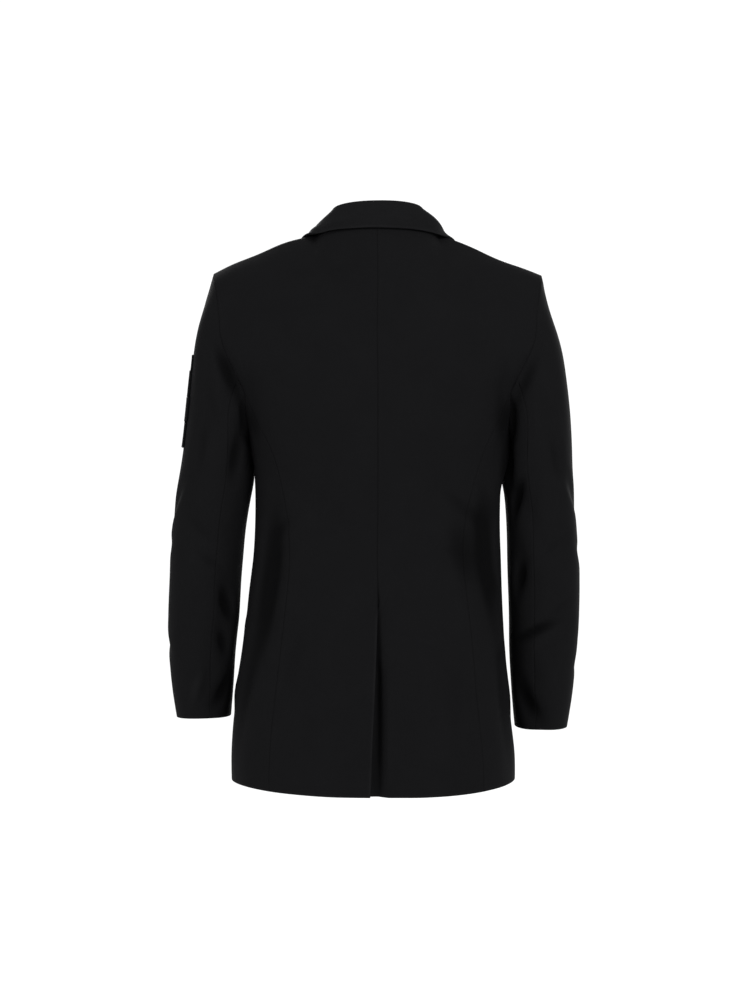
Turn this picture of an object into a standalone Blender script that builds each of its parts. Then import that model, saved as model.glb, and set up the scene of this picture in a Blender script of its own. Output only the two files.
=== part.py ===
"""Single-breasted blazer, worn and hollow, with no wearer.

Metres, +Z up. The front faces -Y and the wearer's left is +X. The origin is the nape, where the
collar is seamed to the centre back, on the garment's own centre line; the wearer's neck and
shoulders hold the garment up there.

The outer faces of the torso and sleeve panels are first worked out as grids of points from the
section tables below. Panels that are sewn together share their edge points, so one set of
directions through the cloth, worked out over all of them, gives every panel a wall whose edges
meet its neighbour's edge to edge, with a narrow seam between. Collar, lapels, flaps, patches and
buttons are then laid on those panels.
"""

import math
from typing import NamedTuple

import bmesh
import bpy
import numpy as np
from mathutils import Vector
from mathutils.bvhtree import BVHTree

# ---------------------------------------------------------------------------------------------
# Driving dimensions (metres unless named otherwise)
# ---------------------------------------------------------------------------------------------

CLOTH = 0.002                # wall of suiting cloth with its canvas or fusing
SEAM = 0.0003                # gap between two pieces that are sewn together
LAID = 0.0006                # gap below a piece that lies on a panel

HEM = -0.7315                # hem below the nape
ARMHOLE_SPLIT = -0.220       # height where the side panel's two seams reach the armhole
ARMHOLE_LOW = -0.280         # lowest point of the armhole
ARMHOLE_ROUND = 0.8          # power that keeps its bottom round: less is squarer
BUST_SEAM_ROWS = 15          # rows of cells from the hem up to ARMHOLE_SPLIT
YOKE_ROWS = 9                # rows of cells from ARMHOLE_SPLIT up to the shoulder
BACK_COLUMNS = 11            # columns of cells across half the back
FRONT_COLUMNS = 11           # columns of cells across one front
SIDE_COLUMNS = 8             # columns of cells across a side panel
NECK_COLUMNS = 5             # of those, the columns that end at the neck
CORNER_SOFTENING = 8         # rounds of smoothing that take the neck corner out of lower rows
CORNER_REACH = 5             # power by which that corner comes back towards the top row
DIP_POWER = 4                # power by which a side panel's rows come to follow the armhole

OVERLAP = 0.020              # each front reaches this far past the centre front
BREAK_HEIGHT = -0.395        # the lapel's roll starts here, just above the top button
CUTAWAY_TOP = -0.520         # the front edge starts to curve away below the low button
CUTAWAY_WIDTH = 0.085        # how far the front edge has curved away at the hem
CUTAWAY_POWER = 2.6          # how late the curve turns
ROLL_AT_SPLIT = 0.045        # roll line's distance from the centre at ARMHOLE_SPLIT
FRONT_LAP = 0.0028           # the left front lies this far out where it laps over the right one
BREAK_LAP = 0.0068           # and this far where the right lapel lies between them
LAP_FROM = 0.055             # the left front starts to rise at this distance from the centre
LAP_FULL = 0.024             # and is fully out from here on
BREAK_LAP_BELOW = 0.045      # BREAK_LAP starts this far below the break
BREAK_LAP_FADE = 0.035       # and is reached over this height

SIDE_HEM_RISE = 0.0080       # the hem sits this much higher at the sides
SIDE_HEM_FROM = -0.620       # and the rows above it follow, up to here

VENT_TOP = -0.500            # top of the centre back vent
VENT_WIDTH = 0.040           # width of the underlap on the right back
VENT_SPREAD = 0.010          # the upper layer's edge swings this far to the left at the hem
VENT_SPREAD_POWER = 1.3      # power by which the swing grows towards the hem
VENT_SPREAD_COLUMNS = 3      # columns over which it fades into the panel
VENT_RECESS = 0.0105         # the underlap hangs this far in at the hem
VENT_START_RECESS = 0.0027   # and this far at the vent's top, to pass under the upper layer
VENT_DEEPENS = 2.2           # the full recess is reached at 1 / VENT_DEEPENS of the vent's depth
VENT_FOLD = 0.013            # the right back starts to turn in this far from the centre
VENT_FOLD_SHARE = 0.15       # share of the recess there
VENT_MIDDLE = 0.45           # place of the underlap's middle line, as a share of its reach
VENT_TOP_STEPS = (0.0, -0.002, -0.004)   # across the centre, for the underlap's narrow top row

SLEEVE_ROWS = 22             # rows of cells from the armhole to the cuff
HIND_ARM_SEAM = 8            # column of the sleeve's back seam, counted from the shoulder tip
SLEEVE_SQUARE = 2.25         # squareness of its sections: 2 is an ellipse
ARMHOLE_FADE = 1.6           # table rows over which the armhole's own outline fades out
RIGHT_CUFF_DROP = 0.014      # the right cuff hangs this much lower than the left one
CUFF_DROP_FROM = -0.30       # the drop starts at this height
CUFF_DROP_OVER = 0.35        # and is complete over this length

BUTTON_RADIUS = 0.010
BUTTON_THICKNESS = 0.0038
BUTTON_STEPS = 24            # flats round its rim
BUTTON_HEIGHTS = (-0.408, -0.506)
HOLES = 4                    # holes for the thread
HOLE_RADIUS = 0.0011
HOLE_CIRCLE = 0.0026         # radius of the circle the holes stand on
HOLE_STEPS = 8               # flats round a hole
HOLE_REACH = 3               # a hole's cutter is this many button thicknesses long

FLAP_TOP = -0.492            # height of the hip pocket's mouth
FLAP_DEPTH = 0.052
FLAP_FROM = 106.0            # degrees round the body from the centre back, rear end of the flap
FLAP_TO = 150.0              # and its front end
FLAP_SLANT = 0.006           # the front end sits this much lower
FLAP_CORNER = 0.008          # its lower front corner is this much shallower
FLAP_ROWS = 4
FLAP_COLUMNS = 8

PATCH_WIDTH = 0.034
PATCH_ROWS = 3
PATCH_COLUMNS = 4

LEFT, RIGHT = 1.0, -1.0      # the wearer's left is +X
RIM_ORDER = Vector((0.2, 0.3, 1.0))   # rims are split from their corner furthest this way
MITRE_LIMIT = 0.72           # no wall is drawn out by more than one over this at a fold
SHARP_ANGLE = math.radians(40)        # edges that turn more than this are shaded sharp
CLEAR = 0.4                  # a distance from the origin that lies outside the whole garment
SETTLED = 1e-6               # a push shorter than this counts as none
TORSO_MIDDLE = np.array([0.0, 0.0, -0.40])
ARM_MIDDLE = np.array([0.22, 0.0, -0.35])   # on the left
NAPE = np.array([0.0, 0.0, 0.0])


class TorsoRow(NamedTuple):
    """One level section of the torso, with its side seams' places in degrees round the body."""

    height: float
    half_left: float
    half_right: float
    back: float
    front: float
    square: float
    back_seam: float
    front_seam: float


TORSO = (
    TorsoRow(-0.7315, 0.1922, 0.1806, 0.1300, 0.1240, 2.35, 54, 123),
    TorsoRow(-0.700, 0.1932, 0.1806, 0.1285, 0.1240, 2.35, 54, 123),
    TorsoRow(-0.650, 0.1900, 0.1762, 0.1250, 0.1225, 2.35, 54, 123),
    TorsoRow(-0.595, 0.1836, 0.1712, 0.1190, 0.1200, 2.35, 54, 122),
    TorsoRow(-0.540, 0.1768, 0.1665, 0.1110, 0.1165, 2.35, 55, 121),
    TorsoRow(-0.490, 0.1705, 0.1632, 0.1025, 0.1140, 2.35, 56, 120),
    TorsoRow(-0.437, 0.1640, 0.1614, 0.0965, 0.1130, 2.35, 57, 119),
    TorsoRow(-0.385, 0.1610, 0.1605, 0.0960, 0.1165, 2.35, 58, 118),
    TorsoRow(-0.340, 0.1618, 0.1618, 0.1010, 0.1210, 2.35, 60, 116),
    TorsoRow(-0.290, 0.1668, 0.1668, 0.1080, 0.1242, 2.35, 64, 112),
    TorsoRow(-0.255, 0.1750, 0.1750, 0.1120, 0.1242, 2.35, 69, 109),
    TorsoRow(-0.220, 0.1865, 0.1865, 0.1135, 0.1222, 2.35, 72, 108),
)


class Along(NamedTuple):
    """A point of a seam or edge on the wearer's left: across, depth and height."""

    x: float
    y: float
    z: float


class ShoulderRow(NamedTuple):
    """A point of the shoulder seam, whose height differs a little on the two sides."""

    x: float
    y: float
    left: float
    right: float


SPINE = (
    Along(0, 0.1135, -0.220), Along(0, 0.1115, -0.165), Along(0, 0.1045, -0.115),
    Along(0, 0.0920, -0.065), Along(0, 0.0760, -0.026), Along(0, 0.0620, 0.000),
)
BACK_ARMHOLE = (
    Along(0.1878, 0.0640, -0.186), Along(0.2015, 0.0600, -0.155), Along(0.2068, 0.0470, -0.110),
    Along(0.2135, 0.0230, -0.074),
)
FRONT_ARMHOLE = (
    Along(0.1790, -0.0575, -0.190), Along(0.1855, -0.0515, -0.150), Along(0.1960, -0.0390, -0.108),
    Along(0.2090, -0.0220, -0.074),
)
ROLL_LINE = (
    Along(0.0450, -0.1200, -0.220), Along(0.0585, -0.1120, -0.167), Along(0.0675, -0.0910, -0.118),
    Along(0.0715, -0.0590, -0.075),
)
BACK_NECK = (
    Along(0, 0.0620, 0.000), Along(0.0300, 0.0595, -0.0005), Along(0.0560, 0.0480, -0.003),
    Along(0.0725, 0.0300, -0.006), Along(0.0790, 0.0120, -0.009),
)
FRONT_NECK = (
    Along(0.0715, -0.0590, -0.075), Along(0.0770, -0.0350, -0.046), Along(0.0800, -0.0120, -0.022),
    Along(0.0790, 0.0120, -0.009),
)
SHOULDER = (
    ShoulderRow(0.0790, 0.0120, -0.0090, -0.0090),
    ShoulderRow(0.1200, 0.0090, -0.0182, -0.0240),
    ShoulderRow(0.1650, 0.0040, -0.0375, -0.0440),
    ShoulderRow(0.2166, -0.0020, -0.0600, -0.0625),
)


class SleeveRow(NamedTuple):
    """One section of the sleeve: its outer and inner points, and its place and depth along Y."""

    outer_height: float
    inner_height: float
    outer_left: float
    inner_left: float
    outer_right: float
    inner_right: float
    centre: float
    half_depth: float


SLEEVE = (
    SleeveRow(-0.060, -0.280, 0.2166, 0.1710, 0.2166, 0.1710, 0.0040, 0.060),
    SleeveRow(-0.105, -0.284, 0.2300, 0.1708, 0.2255, 0.1708, 0.0010, 0.062),
    SleeveRow(-0.155, -0.289, 0.2412, 0.1694, 0.2414, 0.1694, -0.0030, 0.065),
    SleeveRow(-0.205, -0.297, 0.2472, 0.1674, 0.2494, 0.1674, -0.0080, 0.067),
    SleeveRow(-0.255, -0.309, 0.2530, 0.1654, 0.2552, 0.1654, -0.0120, 0.068),
    SleeveRow(-0.305, -0.327, 0.2593, 0.1638, 0.2578, 0.1638, -0.0140, 0.067),
    SleeveRow(-0.352, -0.352, 0.2672, 0.1676, 0.2602, 0.1684, -0.0130, 0.065),
    SleeveRow(-0.400, -0.400, 0.2728, 0.1755, 0.2635, 0.1712, -0.0120, 0.062),
    SleeveRow(-0.450, -0.450, 0.2758, 0.1800, 0.2671, 0.1720, -0.0130, 0.059),
    SleeveRow(-0.500, -0.500, 0.2773, 0.1830, 0.2668, 0.1738, -0.0160, 0.056),
    SleeveRow(-0.550, -0.550, 0.2780, 0.1882, 0.2635, 0.1755, -0.0210, 0.0535),
    SleeveRow(-0.600, -0.600, 0.2745, 0.1920, 0.2603, 0.1785, -0.0270, 0.0505),
    SleeveRow(-0.646, -0.646, 0.2685, 0.1965, 0.2530, 0.1830, -0.0340, 0.0475),
)


class Fold(NamedTuple):
    """A soft trough (depth above nought) or ridge pressed in the cloth of one side."""

    side: float
    height: float
    turn: float      # degrees round the sleeve or body, from its outer point or the centre back
    slant: float     # degrees of turn gained for each metre upwards
    length: float
    spread: float    # half-width in degrees of turn
    depth: float


SLEEVE_FOLDS = (
    Fold(LEFT, -0.195, 72, -260, 0.110, 17, 0.0065),
    Fold(RIGHT, -0.225, 74, -240, 0.120, 17, 0.0060),
    Fold(LEFT, -0.490, 138, 420, 0.060, 20, 0.0050),
    Fold(LEFT, -0.548, 122, 300, 0.050, 18, 0.0045),
    Fold(LEFT, -0.610, 118, -350, 0.060, 22, 0.0040),
    Fold(RIGHT, -0.368, 122, 650, 0.070, 16, 0.0050),
    Fold(RIGHT, -0.455, 128, 350, 0.060, 22, 0.0050),
    Fold(RIGHT, -0.548, 92, -900, 0.075, 15, 0.0045),
    Fold(RIGHT, -0.628, 102, 200, 0.060, 24, 0.0040),
    Fold(LEFT, -0.400, 232, -300, 0.070, 18, 0.0045),
    Fold(LEFT, -0.452, 262, 350, 0.065, 18, 0.0045),
    Fold(RIGHT, -0.415, 240, -350, 0.070, 18, 0.0045),
    Fold(RIGHT, -0.470, 266, 300, 0.065, 18, 0.0045),
)
TORSO_FOLDS = (
    Fold(LEFT, -0.450, 62, 20, 0.190, 9, 0.0045),
    Fold(RIGHT, -0.425, 60, -15, 0.180, 9, 0.0045),
    Fold(LEFT, -0.320, 48, 140, 0.120, 10, 0.0030),
    Fold(RIGHT, -0.310, 50, 160, 0.120, 10, 0.0030),
    Fold(LEFT, -0.410, 140, 60, 0.130, 10, 0.0035),
    Fold(RIGHT, -0.415, 141, 70, 0.130, 10, 0.0035),
)


class CollarRow(NamedTuple):
    """The collar at one place round the neck: its fold and its outer edge, on the left."""

    share: float     # 0 at the nape, 1 at the front end of the neck seam
    fold_x: float
    fold_y: float
    fold_z: float
    edge_x: float
    edge_y: float
    edge_z: float


COLLAR = (
    CollarRow(0.00, 0.0000, 0.0530, 0.0255, 0.0000, 0.0705, -0.0080),
    CollarRow(0.16, 0.0300, 0.0495, 0.0248, 0.0330, 0.0680, -0.0080),
    CollarRow(0.32, 0.0552, 0.0370, 0.0207, 0.0640, 0.0510, -0.0088),
    CollarRow(0.50, 0.0636, 0.0130, 0.0092, 0.0880, 0.0170, -0.0125),
    CollarRow(0.68, 0.0680, -0.0130, -0.0050, 0.1055, -0.0180, -0.0225),
    CollarRow(0.84, 0.0700, -0.0380, -0.0300, 0.1230, -0.0460, -0.0535),
    CollarRow(0.93, 0.0712, -0.0500, -0.0500, 0.1340, -0.0560, -0.0720),
    CollarRow(1.00, 0.0718, -0.0600, -0.0700, 0.1170, -0.0650, -0.0910),
)
COLLAR_FOLD_RADIUS = 0.0016
COLLAR_FOLD_TURNS = (60, 120)    # degrees round the fold of the points between stand and fall
STAND_ROWS = 2
FALL_ROWS = 4
FALL_LANDS = 0.3             # share of the fall beyond which it lies on the panels
FALL_HOVER = 0.0018          # its outer edge is this far above them
FALL_RISE = 0.016            # and its top this much further
FALL_FREE_FROM = 0.55        # from this share of the way round to the front
FALL_FREE = 0.200            # it may rise by this much for each further share


class LapelRow(NamedTuple):
    """The lapel at one height of the roll line and of its outer edge."""

    roll_height: float
    edge_x: float
    edge_height: float


LAPEL = (
    LapelRow(-0.372, 0.0060, -0.366),
    LapelRow(-0.340, 0.0290, -0.322),
    LapelRow(-0.300, 0.0560, -0.268),
    LapelRow(-0.255, 0.0830, -0.212),
    LapelRow(-0.205, 0.1080, -0.160),
    LapelRow(-0.155, 0.1290, -0.118),
    LapelRow(-0.115, 0.1375, -0.102),
    LapelRow(-0.0785, 0.1155, -0.0945),
)
LAPEL_SETBACK = 0.0012       # its rolled edge starts this far in from the front's own edge
LAPEL_BELLY = 0.018          # how far its middle stands up, for each metre of its width
LAPEL_ROWS = 14
LAPEL_COLUMNS = 5


class Patch(NamedTuple):
    """A plain patch sewn on the outside of the wearer's left upper arm."""

    top: float
    bottom: float
    shift: float     # forwards or backwards on the arm
    thickness: float


PATCHES = (
    Patch(-0.1670, -0.1870, 0.002, 0.0016),
    Patch(-0.1875, -0.2220, -0.001, 0.0028),
    Patch(-0.2225, -0.2540, 0.003, 0.0031),
    Patch(-0.2545, -0.2885, -0.002, 0.0025),
)

# A button's outline from the middle of its face round the rim to the middle of its back: share of
# the radius, share of the thickness.
BUTTON_OUTLINE = ((0.0, 0.55), (0.62, 0.62), (0.80, 1.0), (0.94, 0.90), (1.0, 0.45), (0.86, 0.0),
                  (0.0, 0.0))

BLACK_CLOTH = (0.011, 0.011, 0.012, 1.0)
COLLAR_CLOTH = (0.013, 0.013, 0.014, 1.0)
BUTTON_BLACK = (0.008, 0.008, 0.009, 1.0)
CLOTH_ROUGHNESS = 0.85
BUTTON_ROUGHNESS = 0.35


# ---------------------------------------------------------------------------------------------
# Curves and tables
# ---------------------------------------------------------------------------------------------

def read_table(places, values, at):
    """Smooth cubic through table rows (places rising), for one or many columns of values."""
    places = np.asarray(places, float)
    values = np.asarray(values, float)
    slopes = np.gradient(values, places, axis=0)
    at = np.clip(at, places[0], places[-1])
    row = int(np.clip(np.searchsorted(places, at, side="right") - 1, 0, len(places) - 2))
    width = places[row + 1] - places[row]
    t = (at - places[row]) / width
    return ((2 * t**3 - 3 * t**2 + 1) * values[row] + (t**3 - 2 * t**2 + t) * width * slopes[row]
            + (3 * t**2 - 2 * t**3) * values[row + 1] + (t**3 - t**2) * width * slopes[row + 1])


def spaced(points, count):
    """Points on a smooth curve through the given ones, evenly spaced along it, count cells."""
    points = np.asarray(points, float)
    chord = np.r_[0, np.cumsum(np.linalg.norm(np.diff(points, axis=0), axis=1))]
    fine = np.array([read_table(chord, points, at) for at in np.linspace(0, chord[-1], 200)])
    run = np.r_[0, np.cumsum(np.linalg.norm(np.diff(fine, axis=0), axis=1))]
    return np.array([[np.interp(at, run, fine[:, axis]) for axis in range(3)]
                     for at in np.linspace(0, run[-1], count + 1)])


def ease(value):
    """Smooth step from 0 to 1."""
    value = np.clip(value, 0.0, 1.0)
    return value * value * (3 - 2 * value)


def unit(vectors):
    """Vectors scaled to length 1."""
    return vectors / np.maximum(np.linalg.norm(vectors, axis=-1, keepdims=True), 1e-12)


def mirrored(points, side):
    """Points given on the wearer's left, moved to the side asked for."""
    return np.asarray(points, float) * np.array([side, 1.0, 1.0])


# ---------------------------------------------------------------------------------------------
# Torso
# ---------------------------------------------------------------------------------------------

def torso_row(height):
    """The torso's section at a height."""
    return TorsoRow(*read_table([row.height for row in TORSO], TORSO, height))


def fold_depth(folds, side, height, turn):
    """How far the folds of one side press the cloth in at a place."""
    depth = 0.0
    for fold in folds:
        if fold.side != side:
            continue
        up = (height - fold.height) / (fold.length / 2)
        round_ = (turn - fold.turn - fold.slant * (height - fold.height)) / fold.spread
        depth += fold.depth * math.exp(-up * up - round_ * round_)
    return depth


def on_torso(side, height, turn):
    """Point of the torso at a height, turn degrees round from the centre back."""
    row = torso_row(height)
    angle = math.radians(turn)
    across, along = math.sin(angle), math.cos(angle)
    half = row.half_left if side == LEFT else row.half_right
    depth = row.back if along > 0 else row.front
    reach = ((abs(across) / half) ** row.square + (abs(along) / depth) ** row.square)
    radius = reach ** (-1 / row.square) - fold_depth(TORSO_FOLDS, side, height, turn)
    rise = SIDE_HEM_RISE * across**4 * ease((SIDE_HEM_FROM - height) / (SIDE_HEM_FROM - HEM))
    return np.array([side * radius * across, radius * along, height + rise])


def turn_at(row, x):
    """Degrees round the body of a front edge that lies x from the centre front."""
    return 180.0 - math.degrees(math.atan2(x, row.front))


def front_edge(height):
    """Distance of the front edge from the centre front, below the armhole split."""
    if height > BREAK_HEIGHT:
        share = (height - BREAK_HEIGHT) / (ARMHOLE_SPLIT - BREAK_HEIGHT)
        return -OVERLAP + share * (ROLL_AT_SPLIT + OVERLAP)
    if height > CUTAWAY_TOP:
        return -OVERLAP
    share = (CUTAWAY_TOP - height) / (CUTAWAY_TOP - HEM)
    return -OVERLAP + CUTAWAY_WIDTH * share**CUTAWAY_POWER


def lower_heights():
    """Heights of the torso's rows from the hem to the armhole split, one at the vent's top."""
    heights = np.linspace(HEM, ARMHOLE_SPLIT, BUST_SEAM_ROWS + 1)
    nearest = int(np.argmin(abs(heights - VENT_TOP)))
    heights[nearest] = VENT_TOP
    return heights


def upper_patch(low, inner, outer, top):
    """Surface spanned by four edges, leaving the low edge without a crease."""
    rows, columns = len(inner) - 1, len(low) - 1
    smooth = top.copy()
    for _ in range(CORNER_SOFTENING):
        smooth[1:-1] = (smooth[:-2] + 2 * smooth[1:-1] + smooth[2:]) / 4
    grid = np.zeros((rows + 1, columns + 1, 3))
    for i in range(rows + 1):
        share = i / rows
        lift = ease(share)
        for j in range(columns + 1):
            across = j / columns
            corners = ((1 - lift) * ((1 - across) * low[0] + across * low[-1])
                       + lift * ((1 - across) * top[0] + across * top[-1]))
            grid[i, j] = ((1 - lift) * low[j] + lift * smooth[j]
                          + (1 - across) * inner[i] + across * outer[i] - corners
                          + share ** CORNER_REACH * (top[j] - smooth[j]))
    return grid


def shoulder(side):
    """The shoulder seam's own points on one side, neck to tip."""
    return np.array([(side * row.x, row.y, row.left if side == LEFT else row.right)
                     for row in SHOULDER])


def armhole(side):
    """Three stretches of the armhole: shoulder tip to split, under the arm, split to tip."""
    split = torso_row(ARMHOLE_SPLIT)
    under = []
    for j in range(SIDE_COLUMNS + 1):
        share = j / SIDE_COLUMNS
        turn = split.back_seam + share * (split.front_seam - split.back_seam)
        dip = (ARMHOLE_SPLIT - ARMHOLE_LOW) * math.sin(math.pi * share) ** ARMHOLE_ROUND
        under.append(on_torso(side, ARMHOLE_SPLIT - dip, turn))
    tip = shoulder(side)[-1]
    back = spaced(np.vstack([under[0], mirrored(BACK_ARMHOLE, side), tip]), YOKE_ROWS)
    front = spaced(np.vstack([under[-1], mirrored(FRONT_ARMHOLE, side), tip]), YOKE_ROWS)
    return back[::-1], np.array(under), front


def back_panel(side):
    """Half the back: centre seam to side seam, armhole, shoulder and neck."""
    lower = []
    for height in lower_heights():
        seam = torso_row(height).back_seam
        lower.append([on_torso(side, height, seam * j / BACK_COLUMNS)
                      for j in range(BACK_COLUMNS + 1)])
    lower = np.array(lower)
    lower[:, 0, 0] = 0.0
    back_arm, _, _ = armhole(side)
    top = np.vstack([spaced(mirrored(BACK_NECK, side), NECK_COLUMNS),
                     spaced(shoulder(side), BACK_COLUMNS - NECK_COLUMNS)[1:]])
    upper = upper_patch(lower[-1], spaced(SPINE, YOKE_ROWS), back_arm[::-1], top)
    grid = np.vstack([lower, upper[1:]])
    return vent_left(grid) if side == LEFT else vent_right(grid)


def below_vent(height):
    """0 at the vent's top and above, 1 at the hem."""
    return float(np.clip((VENT_TOP - height) / (VENT_TOP - HEM), 0.0, 1.0))


def vent_left(grid):
    """The upper layer at the vent: its edge swings a little to the left towards the hem."""
    grid = grid.copy()
    for row in grid:
        swing = VENT_SPREAD * below_vent(row[0, 2]) ** VENT_SPREAD_POWER
        for j in range(VENT_SPREAD_COLUMNS):
            row[j, 0] += swing * (1 - j / VENT_SPREAD_COLUMNS)
    return grid


def vent_right(grid):
    """The lower layer: an underlap past the centre that hangs in behind the upper layer."""
    grid = grid.copy()
    for row in grid:
        height = row[0, 2]
        if height > VENT_TOP + SETTLED:
            continue
        share = below_vent(height)
        grows = ease(VENT_DEEPENS * share)
        recess = VENT_START_RECESS + (VENT_RECESS - VENT_START_RECESS) * grows
        steps = (VENT_WIDTH, VENT_WIDTH * VENT_MIDDLE, 0.0) if share > 0 else VENT_TOP_STEPS
        back, beside = row[0, 1], row[1, 1]
        for j, across in enumerate(steps):
            row[j] = (across, back - recess, height)
        row[len(steps)] = (-VENT_FOLD, beside - VENT_FOLD_SHARE * recess, height)
    return grid


def side_panel(side):
    """The side panel between back and front, up to the armhole under the arm."""
    _, under, _ = armhole(side)
    grid = []
    for height in lower_heights()[:-1]:
        rise = ((height - HEM) / (ARMHOLE_SPLIT - HEM)) ** DIP_POWER
        cells = []
        for j in range(SIDE_COLUMNS + 1):
            dipped = height + rise * (under[j][2] - ARMHOLE_SPLIT)
            row = torso_row(dipped if 0 < j < SIDE_COLUMNS else height)
            turn = row.back_seam + j / SIDE_COLUMNS * (row.front_seam - row.back_seam)
            cells.append(on_torso(side, dipped, turn))
        grid.append(cells)
    return np.array(grid + [under])


def front_panel(side):
    """One front: side seam to front edge and roll line, armhole, shoulder and neck."""
    lower = []
    for height in lower_heights():
        row = torso_row(height)
        edge = turn_at(row, front_edge(height))
        lower.append([on_torso(side, height, edge + (row.front_seam - edge) * j / FRONT_COLUMNS)
                      for j in range(FRONT_COLUMNS + 1)])
    lower = np.array(lower)
    _, _, front_arm = armhole(side)
    roll = mirrored(ROLL_LINE, side)
    roll[0] = lower[-1, 0]
    top = np.vstack([spaced(mirrored(FRONT_NECK, side), NECK_COLUMNS),
                     spaced(shoulder(side), FRONT_COLUMNS - NECK_COLUMNS)[1:]])
    upper = upper_patch(lower[-1], spaced(roll, YOKE_ROWS), front_arm, top)
    grid = np.vstack([lower, upper[1:]])
    return lap_left(grid) if side == LEFT else grid


def lap_left(grid):
    """The left front stands out where it laps over the right one and its lapel."""
    grid = grid.copy()
    for row in grid:
        for point in row:
            near = ease((LAP_FROM - point[0]) / (LAP_FROM - LAP_FULL))
            low = ease((point[2] - BREAK_HEIGHT + BREAK_LAP_BELOW) / BREAK_LAP_FADE)
            point[1] -= near * (FRONT_LAP + low * (BREAK_LAP - FRONT_LAP))
    return grid


# ---------------------------------------------------------------------------------------------
# Sleeves
# ---------------------------------------------------------------------------------------------

def sleeve_point(side, row, turn):
    """Point of one sleeve section, turn degrees round from its outer point towards the back."""
    outer_x = row.outer_left if side == LEFT else row.outer_right
    inner_x = row.inner_left if side == LEFT else row.inner_right
    hangs = ease((CUFF_DROP_FROM - row.outer_height) / CUFF_DROP_OVER)
    drop = 0.0 if side == LEFT else RIGHT_CUFF_DROP * hangs
    outer = np.array([side * outer_x, row.centre, row.outer_height - drop])
    inner = np.array([side * inner_x, row.centre, row.inner_height - drop])
    middle, half = (outer + inner) / 2, (outer - inner) / 2
    angle = math.radians(turn)
    c, s = math.cos(angle), math.sin(angle)
    radius = (abs(c) ** SLEEVE_SQUARE + abs(s) ** SLEEVE_SQUARE) ** (-1 / SLEEVE_SQUARE)
    press = 1 - fold_depth(SLEEVE_FOLDS, side, row.outer_height, turn) / row.half_depth
    return middle + radius * press * (c * half + s * row.half_depth * np.array([0.0, 1.0, 0.0]))


def sleeve(side):
    """The whole sleeve as a tube of rows, from the armhole to the cuff."""
    back_arm, under, front_arm = armhole(side)
    loop = np.vstack([back_arm, under[1:], front_arm[1:-1]])
    count = len(loop)
    rows = [loop]
    places = np.arange(len(SLEEVE))
    for station in np.linspace(0, len(SLEEVE) - 1, SLEEVE_ROWS + 1)[1:]:
        row = SleeveRow(*read_table(places, SLEEVE, station))
        ring = np.array([sleeve_point(side, row, 360 * j / count) for j in range(count)])
        settle = ease(station / ARMHOLE_FADE)
        first = np.array([sleeve_point(side, SLEEVE[0], 360 * j / count) for j in range(count)])
        rows.append(ring + (1 - settle) * (loop - first))
    return np.array(rows)


def sleeve_panels(side):
    """Upper and under sleeve, cut from the tube at the hind-arm and forearm seams."""
    tube = sleeve(side)
    count = tube.shape[1]
    forearm = count - HIND_ARM_SEAM
    upper = np.concatenate([tube[:, forearm:], tube[:, :HIND_ARM_SEAM + 1]], axis=1)
    under = tube[:, HIND_ARM_SEAM:forearm + 1]
    return upper, under


# ---------------------------------------------------------------------------------------------
# Walls
# ---------------------------------------------------------------------------------------------

def faces_out(grid, centre, row=None):
    """The grid with its columns in the order that makes one row's faces point away from centre."""
    i = grid.shape[0] // 2 if row is None else row
    j = grid.shape[1] // 2
    up, across = grid[i + 1, j] - grid[i, j], grid[i, j + 1] - grid[i, j]
    return grid if np.dot(np.cross(across, up), grid[i, j] - centre) > 0 else grid[:, ::-1]


def through_cloth(panels, thickness=CLOTH):
    """For each panel, the way from outer to inner face at each point, shared along seams."""
    total, faces = {}, {}

    def key(point):
        return tuple(np.round(point * 1e5).astype(int))

    for grid in panels.values():
        for i in range(grid.shape[0] - 1):
            for j in range(grid.shape[1] - 1):
                cell = (grid[i, j], grid[i, j + 1], grid[i + 1, j + 1], grid[i + 1, j])
                normal = np.cross(cell[2] - cell[0], cell[3] - cell[1])
                if np.linalg.norm(normal) < 1e-12:
                    continue
                normal = unit(normal)
                for corner in range(4):
                    one = unit(cell[corner - 1] - cell[corner])
                    two = unit(cell[(corner + 1) % 4] - cell[corner])
                    weight = math.acos(float(np.clip(np.dot(one, two), -1, 1)))
                    place = key(cell[corner])
                    total[place] = total.get(place, 0) + weight * normal
                    faces.setdefault(place, []).append(normal)
    ways = {}
    for name, grid in panels.items():
        way = np.zeros_like(grid)
        for i in range(grid.shape[0]):
            for j in range(grid.shape[1]):
                place = key(grid[i, j])
                normal = unit(total[place])
                lean = float(np.mean([np.dot(normal, face) for face in faces[place]]))
                way[i, j] = -normal * thickness / max(lean, MITRE_LIMIT)
        ways[name] = way
    return ways


def drawn_in(grid, by):
    """The grid with its four edges drawn in along its own lines."""
    grid = grid.copy()
    for axis in (0, 1):
        lines = np.moveaxis(grid, axis, 0)
        for edge, next_in in ((0, 1), (-1, -2)):
            lines[edge] += unit(lines[next_in] - lines[edge]) * by
    return grid


def material(name, colour, roughness):
    """Plain finish for one piece."""
    made = bpy.data.materials.new(name)
    made.use_nodes = True
    shader = made.node_tree.nodes["Principled BSDF"]
    shader.inputs["Base Color"].default_value = colour
    shader.inputs["Roughness"].default_value = roughness
    shader.inputs["Metallic"].default_value = 0.0
    return made


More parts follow.
